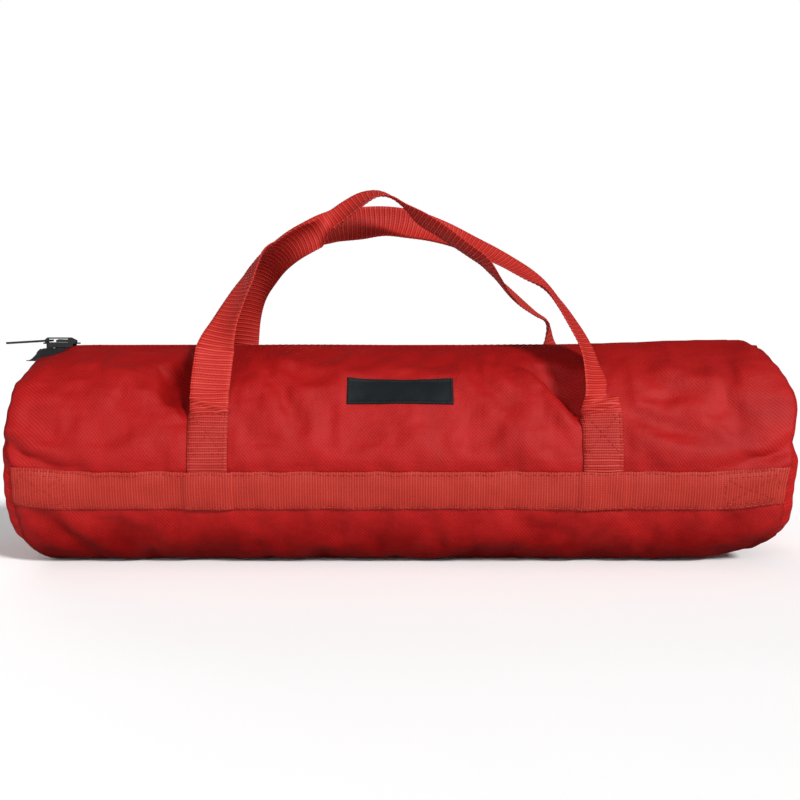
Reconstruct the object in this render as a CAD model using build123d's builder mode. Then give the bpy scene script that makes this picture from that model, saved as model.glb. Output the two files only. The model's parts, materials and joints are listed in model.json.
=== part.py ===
"""Agility tunnel, packed in its carry bag.

A soft barrel bag with a zipped top and two webbing handles holds a folded
pop-up dog tunnel: its fabric sleeve, spring-steel hoops, two tie straps and
ground pegs.

Frame: millimetres, +X along the bag, +Y to its rear side, +Z up.  The origin
is the middle of the flat base that the bag stands on.
"""

import os
from math import cos, radians, sin, sqrt

from build123d import *

# ---------------------------------------------------------------- dimensions
# barrel section: half-round top, elliptic lower corners, flat base
TOP_R = 75.5
AXIS_Z = 69.0
FLAT = 31.0
BAG_H = AXIS_Z + TOP_R
HALF_LEN = 250.0
CLOTH = 1.0

# end panels
END_BULGE = 6.0
END_WALL = 1.2
END_ROUND = 5.0

# lower corners that stand off the floor: where each slope starts, and its height at the end
LIFT_RIGHT_X = 218.0
LIFT_RIGHT_Z = 22.0
LIFT_LEFT_X = -243.0
LIFT_LEFT_Z = 24.0

# seam binding, inside each end
BIND_W = 12.0
BIND_T = 1.6

# zipper
LIP_GAP = 5.5
TAPE_T = 0.6
TAPE_IN = 1.5
TAPE_OUT = 17.5
TAPE_TAIL = 12.0
COIL_IN = 0.8
COIL_OUT = 3.7
COIL_TOP = 1.4
COIL_X0 = -244.0
COIL_X1 = 243.0

# slider
SL_X0 = -252.0
SL_X1 = -227.0
SL_HALF_W = 5.1
SL_TOP_Z0 = BAG_H + 1.9
SL_TOP_Z1 = BAG_H + 2.9
SL_BOT_Z0 = BAG_H - 3.4
SL_BOT_Z1 = BAG_H - 2.2
PIN_X = -247.4
PIN_Z = BAG_H + 4.3
PIN_R = 0.7
TAB_DROOP = 3.4
TAB_LEN = 31.0
TAB_T = 1.4

# webbing
WEB_W = 25.4
WEB_T = 1.5

# horizontal bands, one on each long side
BAND_Z0 = 39.5
BAND_Z1 = 65.0

# handles: where the loops leave the bag, and how far each loop leans inward
HINGE_R = TOP_R + 1.7
HINGE_ANGLE = 33.0
HINGE_Y = HINGE_R * cos(radians(HINGE_ANGLE))
HINGE_Z = AXIS_Z + HINGE_R * sin(radians(HINGE_ANGLE))
LEG_TOP_GAP = 2.5
LEG_Z0 = 43.0
FRONT_LEAN = 26.0
REAR_LEAN = 23.5
LOOP_START = 0.9
FRONT_LEGS = (-124.5, 131.5)
REAR_LEGS = (-122.0, 112.0)

# label
LABEL_W = 70.0
LABEL_Z0 = 107.8
LABEL_Z1 = 123.4
LABEL_T = 1.0

# packed tunnel
ROLL_R = 61.0
ROLL_HALF = 235.0
ROLL_Z = 68.7
HOOP_R = 63.2
HOOP_WIRE_R = 1.2
HOOP_COUNT = 9
TIE_W = 25.0
TIE_T = 1.2
TIE_R = HOOP_R + HOOP_WIRE_R + 0.4
PEG_R = 2.2
PEG_LEN = 180.0

os.makedirs("parts", exist_ok=True)


def save(piece, node):
    """Label a finished sub-part and write its STEP file."""
    piece.part.label = node
    export_step(piece.part, "parts/" + node + ".step")


def section(grow, mode=Mode.ADD):
    """Face of the barrel's section, grown outward by a distance, inside a sketch."""
    with BuildLine() as outline:
        Line((-FLAT, -grow), (FLAT, -grow))
        EllipticalCenterArc(
            (FLAT, AXIS_Z), TOP_R - FLAT + grow, AXIS_Z + grow, start_angle=270, arc_size=90
        )
        CenterArc((0, AXIS_Z), TOP_R + grow, 0, 180)
        EllipticalCenterArc(
            (-FLAT, AXIS_Z), TOP_R - FLAT + grow, AXIS_Z + grow, start_angle=180, arc_size=90
        )
    make_face(outline.edges(), mode=mode)


def window(y0, y1, z0, z1, mode=Mode.INTERSECT):
    """Rectangle between two y and two z values, inside a sketch."""
    with Locations(((y0 + y1) / 2, (z0 + z1) / 2)):
        Rectangle(abs(y1 - y0), abs(z1 - z0), mode=mode)


def lifted_corners(inward):
    """Cut away the space under the lower corners, which stand off the floor, inside a part.

    Each cut is a slope from the base up to the end; inward moves it into the bag.
    """
    for x0, z1 in ((LIFT_RIGHT_X, LIFT_RIGHT_Z), (LIFT_LEFT_X, LIFT_LEFT_Z)):
        end = HALF_LEN + END_BULGE if x0 > 0 else -HALF_LEN - END_BULGE
        run = end - x0
        slope = sqrt(run * run + z1 * z1)
        nx, nz = -z1 * (1 if x0 > 0 else -1) / slope, abs(run) / slope
        ax, az = x0 + nx * inward, nz * inward
        with BuildSketch(Plane.XZ.offset(-100)) as side_view:
            with BuildLine() as wedge:
                Polyline(
                    (ax - run, az - z1),
                    (ax + 3 * run, az + 3 * z1),
                    (ax + 3 * run, az - z1),
                    close=True,
                )
            make_face(wedge.edges())
        extrude(side_view.sketch, amount=200, mode=Mode.SUBTRACT)


# ---------------------------------------------------------------- bag shell
# the room inside the bag, and the whole skin round it, which the panels are cut from
with BuildPart() as bag_room:
    with BuildSketch(Plane.YZ.offset(-HALF_LEN - END_BULGE + END_WALL)):
        section(-CLOTH)
    extrude(amount=2 * (HALF_LEN + END_BULGE - END_WALL))
    ends = bag_room.faces().filter_by(Axis.X)
    fillet(ends.edges(), radius=END_ROUND - END_WALL)
    lifted_corners(CLOTH)

with BuildPart() as bag_skin:
    with BuildSketch(Plane.YZ.offset(-HALF_LEN - END_BULGE)):
        section(0)
    extrude(amount=2 * (HALF_LEN + END_BULGE))
    ends = bag_skin.faces().filter_by(Axis.X)
    fillet(ends.edges(), radius=END_ROUND)
    lifted_corners(0)
    add(bag_room.part, mode=Mode.SUBTRACT)

# ------------------------------------------------------------- barrel panel
with BuildPart() as barrel_panel:
    add(bag_skin.part)
    with BuildSketch(Plane.YZ.offset(-HALF_LEN)):
        Rectangle(400, 400)
    extrude(amount=2 * HALF_LEN, mode=Mode.INTERSECT)
    with BuildSketch(Plane.YZ.offset(-HALF_LEN)):
        with Locations((0, BAG_H)):
            Rectangle(2 * LIP_GAP, 16)
    extrude(amount=2 * HALF_LEN, mode=Mode.SUBTRACT)
save(barrel_panel, "barrel_panel")

# --------------------------------------------------------------- end panels
with BuildPart() as end_panel_left:
    add(bag_skin.part)
    with BuildSketch(Plane.YZ.offset(-HALF_LEN)):
        Rectangle(400, 400)
    extrude(amount=-2 * END_BULGE, mode=Mode.INTERSECT)
    # notch that lets the zipper tape run out over the end
    with BuildSketch(Plane.YZ.offset(-HALF_LEN)):
        with Locations((0, BAG_H)):
            Rectangle(38, 11)
    extrude(amount=-2 * END_BULGE, mode=Mode.SUBTRACT)
save(end_panel_left, "end_panel_left")

with BuildPart() as end_panel_right:
    add(bag_skin.part)
    with BuildSketch(Plane.YZ.offset(HALF_LEN)):
        Rectangle(400, 400)
    extrude(amount=2 * END_BULGE, mode=Mode.INTERSECT)
save(end_panel_right, "end_panel_right")


# ------------------------------------------------------------- seam binding
def binding(x0):
    """Folded tape that covers the raw edges of an end seam, inside the bag."""
    with BuildPart() as tape:
        with BuildSketch(Plane.YZ.offset(x0)):
            section(-CLOTH)
            section(-CLOTH - BIND_T, mode=Mode.SUBTRACT)
            window(-18.5, 18.5, BAG_H - 12, BAG_H + 8, mode=Mode.SUBTRACT)
        extrude(amount=BIND_W)
        lifted_corners(CLOTH)
    return tape


seam_binding_left = binding(-HALF_LEN)
save(seam_binding_left, "seam_binding_left")
seam_binding_right = binding(HALF_LEN - BIND_W)
save(seam_binding_right, "seam_binding_right")


# ------------------------------------------------------------------- zipper
def zipper_tape(side):
    """One woven tape of the zipper, sewn under a lip of the barrel."""
    with BuildPart() as tape:
        with BuildSketch(Plane.YZ.offset(-HALF_LEN - TAPE_TAIL)):
            section(-CLOTH)
            section(-CLOTH - TAPE_T, mode=Mode.SUBTRACT)
            window(side * TAPE_IN, side * TAPE_OUT, BAG_H - 12, BAG_H + 8)
        extrude(amount=2 * HALF_LEN + TAPE_TAIL)
    return tape


def zipper_coil(side):
    """One row of coil teeth as a plain bar, with room between the rows for the slider's post."""
    with BuildPart() as coil:
        with BuildSketch(Plane.YZ.offset(COIL_X0)):
            section(COIL_TOP)
            section(-CLOTH, mode=Mode.SUBTRACT)
            window(side * COIL_IN, side * COIL_OUT, BAG_H - 12, BAG_H + 8)
            window(side * COIL_IN, side * TAPE_IN, BAG_H - 12, BAG_H - 0.4, mode=Mode.SUBTRACT)
        extrude(amount=COIL_X1 - COIL_X0)
    return coil


zipper_tape_front = zipper_tape(-1)
save(zipper_tape_front, "zipper_tape_front")
zipper_tape_rear = zipper_tape(1)
save(zipper_tape_rear, "zipper_tape_rear")
zipper_coil_front = zipper_coil(-1)
save(zipper_coil_front, "zipper_coil_front")
zipper_coil_rear = zipper_coil(1)
save(zipper_coil_rear, "zipper_coil_rear")

# metal clips: one on each tape before the slider, one bridging both behind it
with BuildPart() as zipper_top_stops:
    with BuildSketch(Plane.YZ.offset(-257.0)):
        section(COIL_TOP)
        section(-CLOTH, mode=Mode.SUBTRACT)
        with Locations((0, BAG_H)):
            Rectangle(8.4, 16, mode=Mode.INTERSECT)
            Rectangle(3.0, 16, mode=Mode.SUBTRACT)
    extrude(amount=3.5)
save(zipper_top_stops, "zipper_top_stops")

with BuildPart() as zipper_bottom_stop:
    with BuildSketch(Plane.YZ.offset(COIL_X1)):
        section(COIL_TOP + 0.3)
        section(-CLOTH, mode=Mode.SUBTRACT)
        window(-4.4, 4.4, BAG_H - 12, BAG_H + 8)
    extrude(amount=4.0)
save(zipper_bottom_stop, "zipper_bottom_stop")

# slider: two plates joined by a post, side flanges and a bail on top
sl_mid = (SL_X0 + SL_X1) / 2
sl_len = SL_X1 - SL_X0
with BuildPart() as slider_body:
    with BuildSketch(Plane.XY.offset(SL_TOP_Z0)):
        with Locations((sl_mid, 0)):
            RectangleRounded(sl_len, 2 * SL_HALF_W, 3.2)
    extrude(amount=SL_TOP_Z1 - SL_TOP_Z0)
    with BuildSketch(Plane.XY.offset(SL_BOT_Z0)):
        with Locations((sl_mid, 0)):
            RectangleRounded(sl_len, 2 * SL_HALF_W, 3.2)
    extrude(amount=SL_BOT_Z1 - SL_BOT_Z0)
    # flanges that hold the coils together, bent down from the top plate
    with BuildSketch(Plane.XY.offset(BAG_H - 0.5)):
        with Locations((sl_mid, SL_HALF_W - 0.5), (sl_mid, -SL_HALF_W + 0.5)):
            Rectangle(sl_len - 7.0, 1.0)
    extrude(amount=SL_TOP_Z0 - (BAG_H - 0.5))
    # post between the plates, at the end where the coils part
    with BuildSketch(Plane.XY.offset(SL_BOT_Z1)):
        with Locations((SL_X0 + 4.0, 0)):
            Rectangle(5.0, 0.8)
    extrude(amount=SL_TOP_Z0 - SL_BOT_Z1)
save(slider_body, "slider_body")

with BuildPart() as slider_bail:
    with BuildSketch(Plane.XZ.offset(-1.6)):
        with BuildLine():
            Polyline(
                (-251.0, SL_TOP_Z1),
                (-251.0, SL_TOP_Z1 + 2.2),
                (-249.4, SL_TOP_Z1 + 3.6),
                (-233.0, SL_TOP_Z1 + 3.6),
                (-229.0, SL_TOP_Z1 + 1.6),
                (-229.0, SL_TOP_Z1),
                close=True,
            )
        make_face()
        with Locations((-242.0, PIN_Z)):
            Rectangle(14.0, 2.4, mode=Mode.SUBTRACT)
    extrude(amount=3.2)
save(slider_bail, "slider_bail")

# pull tab: a pin through the bail, two fork arms and a thin tongue, drooping a little
tab_plane = Plane(origin=(PIN_X, 0, PIN_Z), x_dir=(-cos(radians(TAB_DROOP)), 0, -sin(radians(TAB_DROOP))), z_dir=(sin(radians(TAB_DROOP)), 0, -cos(radians(TAB_DROOP))))
with BuildPart() as pull_tab:
    with BuildSketch(Plane.XZ.offset(-4.0)):
        with Locations((PIN_X, PIN_Z)):
            Circle(PIN_R)
    extrude(amount=8.0)
    with BuildSketch(tab_plane.offset(-TAB_T / 2)):
        with Locations((3.4, 3.2), (3.4, -3.2)):
            Rectangle(8.6, 1.6)
        with Locations((TAB_LEN / 2 + 3.2, 0)):
            RectangleRounded(TAB_LEN - 6.4, 9.0, 2.6)
        with Locations((TAB_LEN - 6.5, 0)):
            SlotOverall(7.5, 3.6, mode=Mode.SUBTRACT)
    extrude(amount=TAB_T)
save(pull_tab, "pull_tab")


# ------------------------------------------------------------------- bands
def band(side, legs):
    """Horizontal webbing along one side, stepping over the two handle legs under it."""
    z0, z1 = BAND_Z0, BAND_Z1
    y0, y1 = side * 40, side * 90
    step = WEB_W / 2 + 0.3
    wall = step + WEB_T
    with BuildPart() as strap:
        stops = [-HALF_LEN]
        for x in legs:
            stops += [x - wall, x + wall]
        stops.append(HALF_LEN)
        for a, b in zip(stops[0::2], stops[1::2]):
            with BuildSketch(Plane.YZ.offset(a)):
                section(WEB_T)
                section(0, mode=Mode.SUBTRACT)
                window(y0, y1, z0, z1)
            extrude(amount=b - a)
        for x in legs:
            with BuildSketch(Plane.YZ.offset(x - wall)):
                section(2 * WEB_T)
                section(WEB_T, mode=Mode.SUBTRACT)
                window(y0, y1, z0, z1)
            extrude(amount=2 * wall)
            for a in (x - wall, x + step):
                with BuildSketch(Plane.YZ.offset(a)):
                    section(2 * WEB_T)
                    section(0, mode=Mode.SUBTRACT)
                    window(y0, y1, z0, z1)
                extrude(amount=WEB_T)
    return strap


front_band = band(-1, FRONT_LEGS)
save(front_band, "front_band")
rear_band = band(1, REAR_LEGS)
save(rear_band, "rear_band")


# ------------------------------------------------------------ handle webbing
def handle_leg(side, x):
    """Sewn end of a handle, flat on the barrel and tucked under the band."""
    top_angle = HINGE_ANGLE - (LEG_TOP_GAP / HINGE_R) * 180 / 3.14159265
    z_top = AXIS_Z + (TOP_R + WEB_T) * sin(radians(top_angle))
    with BuildPart() as leg:
        with BuildSketch(Plane.YZ.offset(x - WEB_W / 2)):
            section(WEB_T)
            section(0, mode=Mode.SUBTRACT)
            window(side * 40, side * 90, LEG_Z0, z_top)
        extrude(amount=WEB_W)
    return leg


def handle_loop(side, lean, points, radii):
    """Free loop of a handle: a strap bent to an arch in a plane that leans over the bag."""
    up = (0, -side * sin(radians(lean)), cos(radians(lean)))
    face = Plane(
        origin=(0, side * HINGE_Y, HINGE_Z),
        x_dir=(1, 0, 0),
        z_dir=(0, -cos(radians(lean)), -side * sin(radians(lean))),
    )
    # the local y axis of this plane runs up the handle
    with BuildPart() as loop:
        with BuildSketch(face.offset(-WEB_T / 2)):
            with BuildLine() as path:
                FilletPolyline(*points, radius=radii)
            trace(line_width=WEB_W)
        extrude(amount=WEB_T)
    return loop


front_points = [
    (FRONT_LEGS[0], LOOP_START), (FRONT_LEGS[0], 20.0), (-119.0, 54.0), (-95.0, 107.0),
    (-58.0, 127.0), (-10.0, 133.5), (30.0, 128.0), (64.0, 109.0), (101.0, 84.0),
    (122.0, 46.0), (FRONT_LEGS[1], 14.0), (FRONT_LEGS[1], LOOP_START),
]
front_radii = [60.0, 60.0, 26.0, 60.0, 60.0, 50.0, 90.0, 34.0, 60.0, 30.0]
rear_points = [
    (REAR_LEGS[0], LOOP_START), (REAR_LEGS[0], 22.0), (-118.0, 58.0), (-91.0, 104.0),
    (-50.0, 132.0), (-14.0, 152.0), (20.0, 134.0), (62.0, 99.0), (97.0, 71.0),
    (REAR_LEGS[1], 42.0), (REAR_LEGS[1], LOOP_START),
]
rear_radii = [60.0, 60.0, 40.0, 90.0, 22.0, 70.0, 90.0, 30.0, 30.0]

front_handle = handle_loop(-1, FRONT_LEAN, front_points, front_radii)
save(front_handle, "front_handle")
rear_handle = handle_loop(1, REAR_LEAN, rear_points, rear_radii)
save(rear_handle, "rear_handle")

front_leg_left = handle_leg(-1, FRONT_LEGS[0])
save(front_leg_left, "front_handle_leg_left")
front_leg_right = handle_leg(-1, FRONT_LEGS[1])
save(front_leg_right, "front_handle_leg_right")
rear_leg_left = handle_leg(1, REAR_LEGS[0])
save(rear_leg_left, "rear_handle_leg_left")
rear_leg_right = handle_leg(1, REAR_LEGS[1])
save(rear_leg_right, "rear_handle_leg_right")

# -------------------------------------------------------------------- label
with BuildPart() as label_patch:
    with BuildSketch(Plane.YZ.offset(-LABEL_W / 2)):
        section(LABEL_T)
        section(0, mode=Mode.SUBTRACT)
        window(-90, -30, LABEL_Z0, LABEL_Z1)
    extrude(amount=LABEL_W)
save(label_patch, "label_patch")

# ------------------------------------------------------------ packed tunnel
# the fabric sleeve, pleated between its hoops and rolled up
with BuildPart() as tunnel_sleeve:
    with BuildSketch(Plane.YZ.offset(-ROLL_HALF)):
        with Locations((0, ROLL_Z)):
            Circle(ROLL_R)
    extrude(amount=2 * ROLL_HALF)
    fillet(tunnel_sleeve.edges().filter_by(GeomType.CIRCLE), radius=10.0)
save(tunnel_sleeve, "tunnel_sleeve")

# spring-steel hoops, each twisted down to small loops round the sleeve
hoop_step = 2 * (ROLL_HALF - 20.0) / (HOOP_COUNT - 1)
with BuildPart() as tunnel_hoops:
    for i in range(HOOP_COUNT):
        x = -(ROLL_HALF - 20.0) + i * hoop_step
        with BuildSketch(Plane(origin=(x, 0, ROLL_Z), x_dir=(1, 0, 0), z_dir=(0, -1, 0))):
            with Locations((0, HOOP_R)):
                Circle(HOOP_WIRE_R)
        revolve(axis=Axis((x, 0, ROLL_Z), (1, 0, 0)), revolution_arc=360)
save(tunnel_hoops, "tunnel_hoops")


def tie(x):
    """Strap that keeps the packed tunnel together."""
    with BuildPart() as strap:
        with BuildSketch(Plane.YZ.offset(x - TIE_W / 2)):
            with Locations((0, ROLL_Z)):
                Circle(TIE_R + TIE_T)
                Circle(TIE_R, mode=Mode.SUBTRACT)
        extrude(amount=TIE_W)
    return strap


tie_strap_left = tie(-134.0)
save(tie_strap_left, "tie_strap_left")
tie_strap_right = tie(134.0)
save(tie_strap_right, "tie_strap_right")

# ground pegs, two in each lower corner of the bag
peg_spots = [(-120.0, -58.0, 24.5), (120.0, -58.0, 24.5), (-120.0, 58.0, 24.5), (120.0, 58.0, 24.5)]
with BuildPart() as ground_pegs:
    for x, y, z in peg_spots:
        with BuildSketch(Plane(origin=(x, y, z), x_dir=(0, 1, 0), z_dir=(1, 0, 0)).offset(-PEG_LEN / 2)):
            Circle(PEG_R)
        extrude(amount=PEG_LEN)
    # pointed tips
    chamfer(ground_pegs.faces().filter_by(Axis.X).group_by(Axis.X)[-1].edges(), length=1.4)
save(ground_pegs, "ground_pegs")

for shape in (front_handle, rear_handle, barrel_panel, pull_tab):
    box = shape.part.bounding_box()
    print(shape.part.label, box.min, box.max)
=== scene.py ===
"""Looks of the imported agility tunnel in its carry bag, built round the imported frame."""

import json
import math

import bpy
import numpy as np
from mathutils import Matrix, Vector

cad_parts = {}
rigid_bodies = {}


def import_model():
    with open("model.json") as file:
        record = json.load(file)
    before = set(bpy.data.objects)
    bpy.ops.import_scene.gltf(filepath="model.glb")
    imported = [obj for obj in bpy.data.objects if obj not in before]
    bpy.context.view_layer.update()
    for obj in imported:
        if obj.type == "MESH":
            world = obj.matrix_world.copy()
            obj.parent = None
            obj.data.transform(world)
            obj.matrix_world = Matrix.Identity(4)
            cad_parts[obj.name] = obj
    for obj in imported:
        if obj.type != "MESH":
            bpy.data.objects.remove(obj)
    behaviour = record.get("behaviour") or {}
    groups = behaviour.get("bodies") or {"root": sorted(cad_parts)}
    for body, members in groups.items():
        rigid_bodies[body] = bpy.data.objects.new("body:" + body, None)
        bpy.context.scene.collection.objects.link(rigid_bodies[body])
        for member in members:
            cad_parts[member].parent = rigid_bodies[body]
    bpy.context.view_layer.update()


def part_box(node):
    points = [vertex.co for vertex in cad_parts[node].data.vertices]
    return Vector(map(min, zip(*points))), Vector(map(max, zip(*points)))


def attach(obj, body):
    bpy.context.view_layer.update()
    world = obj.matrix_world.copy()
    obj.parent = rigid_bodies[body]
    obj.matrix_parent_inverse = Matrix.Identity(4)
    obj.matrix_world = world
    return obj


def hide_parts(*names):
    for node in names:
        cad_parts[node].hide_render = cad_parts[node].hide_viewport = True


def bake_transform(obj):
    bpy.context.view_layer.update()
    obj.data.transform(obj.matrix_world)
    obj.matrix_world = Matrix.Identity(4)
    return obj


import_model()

# ------------------------------------------------------------------ camera
scene = bpy.context.scene
cam_data = bpy.data.cameras.new("camera")
cam_data.lens = 50.0
cam_data.sensor_width = 36.0
cam_data.clip_start = 0.01
cam = bpy.data.objects.new("camera", cam_data)
scene.collection.objects.link(cam)
cam.location = (0.0, -0.7885, 0.1534)
cam.rotation_euler = (math.radians(90.0 - 3.4), 0.0, 0.0)
scene.camera = cam

# ------------------------------------------------------------- dimensions, mm
b_lo, b_hi = (v * 1000 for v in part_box("barrel_panel"))
HALF = b_hi.x
R = b_hi.y
LIP = 5.5
ZC = b_hi.z - math.sqrt(R * R - LIP * LIP)
H = ZC + R
FLAT = 31.0
f_lo, f_hi = (v * 1000 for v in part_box("front_band"))
BAND_Z0, BAND_Z1 = f_lo.z, f_hi.z
WEB = 25.4
FRONT_LEGS = [sum(v.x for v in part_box("front_handle_leg_" + e)) * 500 for e in ("left", "right")]
REAR_LEGS = [sum(v.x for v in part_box("rear_handle_leg_" + e)) * 500 for e in ("left", "right")]


def smooth(a, b, t):
    t = np.clip((np.asarray(t, float) - a) / (b - a), 0, 1)
    return t * t * (3 - 2 * t)


def value_noise(x, y, cell, seed):
    """Smooth noise from -1 to 1 over a plane, one random value per cell corner."""
    x, y = np.asarray(x, float) / cell + 512.0, np.asarray(y, float) / cell + 512.0
    rng = np.random.default_rng(seed)
    table = rng.uniform(-1, 1, (256, 256))
    ix, iy = np.floor(x).astype(int), np.floor(y).astype(int)
    fx, fy = x - ix, y - iy
    fx, fy = fx ** 3 * (fx * (fx * 6 - 15) + 10), fy ** 3 * (fy * (fy * 6 - 15) + 10)
    g = lambda a, b: table[(ix + a) % 256, (iy + b) % 256]
    return (g(0, 0) * (1 - fx) + g(1, 0) * fx) * (1 - fy) + (g(0, 1) * (1 - fx) + g(1, 1) * fx) * fy


# ---------------------------------------------------- barrel surface, in mm
def section_line():
    """The barrel's section from the front lip, down the front, under and up to the rear lip."""
    t = np.linspace(math.asin(LIP / R), math.pi / 2, 240)
    top = np.stack([-R * np.sin(t), ZC + R * np.cos(t)], -1)
    q = np.linspace(0, math.pi / 2, 200)[1:]
    low = np.stack([-FLAT - (R - FLAT) * np.cos(q), ZC - ZC * np.sin(q)], -1)
    base = np.stack([np.linspace(-FLAT, 0, 60)[1:], np.zeros(59)], -1)
    half = np.concatenate([top, low, base])
    other = half[::-1][1:] * (-1, 1)
    return np.concatenate([half, other])


LINE = section_line()
ARC = np.concatenate([[0], np.cumsum(np.hypot(*np.diff(LINE, axis=0).T))])
LEN = ARC[-1]
FRONT_HALF = ARC <= LEN / 2


def s_at(z, side):
    """Distance along the section of the point at height z on the front (-1) or rear (1)."""
    line, arc = LINE[FRONT_HALF], ARC[FRONT_HALF]
    s = np.interp(z, line[::-1, 1], arc[::-1])
    return s if side < 0 else LEN - s


X1 = np.linspace(-HALF, HALF, 501)
S1 = np.linspace(0, LEN, 467)
GX, GS = np.meshgrid(X1, S1, indexing="ij")


def lip_shift(x):
    """How far the cloth's lips draw back from the zipper towards its open end."""
    return 6.5 * smooth(-223, -250, x)


SE = GS + lip_shift(GX) * ((1 - smooth(0, 30, GS)) - (1 - smooth(0, 30, LEN - GS)))
GY = np.interp(SE, ARC, LINE[:, 0])
GZ = np.interp(SE, ARC, LINE[:, 1])
ty, tz = np.gradient(np.interp(S1, ARC, LINE[:, 0])), np.gradient(np.interp(S1, ARC, LINE[:, 1]))
tl = np.hypot(ty, tz)
NY, NZ = (tz / tl)[None, :] * -1.0, (ty / tl)[None, :] * 1.0
NY, NZ = np.broadcast_to(-tz / tl * -1.0, GX.shape).copy(), np.broadcast_to(ty / tl * -1.0, GX.shape).copy()
# outward: away from the axis of the barrel
flip = np.sign(NY * GY + NZ * (GZ - ZC * 0.9))
NY, NZ = NY * flip, NZ * flip

LIFT_R = ([188, 199, 208, 216, 224, 231, 239, 245.5, 250], [0, 0.7, 2.0, 3.6, 5.7, 7.7, 10.9, 14.0, 17.0])
LIFT_L = ([-250, -245.5, -241, -237, -232], [13.0, 7.4, 3.4, 0.8, 0])
S_HINGE_F = s_at(110.0, -1)
BAND_SC = {-1: (s_at(BAND_Z0, -1) + s_at(BAND_Z1, -1)) / 2, 1: (s_at(BAND_Z0, 1) + s_at(BAND_Z1, 1)) / 2}


def band_shift(x):
    """How far each end of the bands rises, along the section."""
    return 3.0 * smooth(205, 250, np.abs(x)) ** 1.3


def dent(x, s, x0, z0, side, length, width, tilt, depth):
    """A soft oval hollow (or, with a negative depth, a swelling) on one side of the barrel."""
    s0 = s_at(z0, side)
    dx, ds = x - x0, (s - s0) * (-1 if side > 0 else 1)
    c, sn = math.cos(math.radians(tilt)), math.sin(math.radians(tilt))
    u, v = dx * c + ds * sn, -dx * sn + ds * c
    return -depth * np.exp(-((u / length) ** 2) - ((v / width) ** 2))


def fold(x, s, points, side, width, depth, sharp=1.0):
    """A crease that runs along a polyline of (x, z, strength) points: a valley beside a low ridge."""
    pts = np.array([(px, s_at(pz, side), k) for px, pz, k in points], float)
    best = np.full(x.shape, 1e9)
    strength = np.zeros(x.shape)
    signed = np.zeros(x.shape)
    for a, b in zip(pts[:-1], pts[1:]):
        d = b[:2] - a[:2]
        L2 = float(d @ d)
        t = np.clip(((x - a[0]) * d[0] + (s - a[1]) * d[1]) / L2, 0, 1)
        px, ps = a[0] + t * d[0], a[1] + t * d[1]
        dist = np.hypot(x - px, s - ps)
        side_of = np.sign((x - a[0]) * d[1] - (s - a[1]) * d[0])
        near = dist < best
        best = np.where(near, dist, best)
        strength = np.where(near, a[2] + t * (b[2] - a[2]), strength)
        signed = np.where(near, dist * side_of, signed)
    valley = np.exp(-((best / width) ** (2 * sharp)))
    ridge = np.exp(-(((signed - 1.9 * width) / (1.3 * width)) ** 2))
    return -2.2 * depth * strength * (valley - 0.45 * ridge * np.exp(-((best / (4 * width)) ** 2)))


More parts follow.
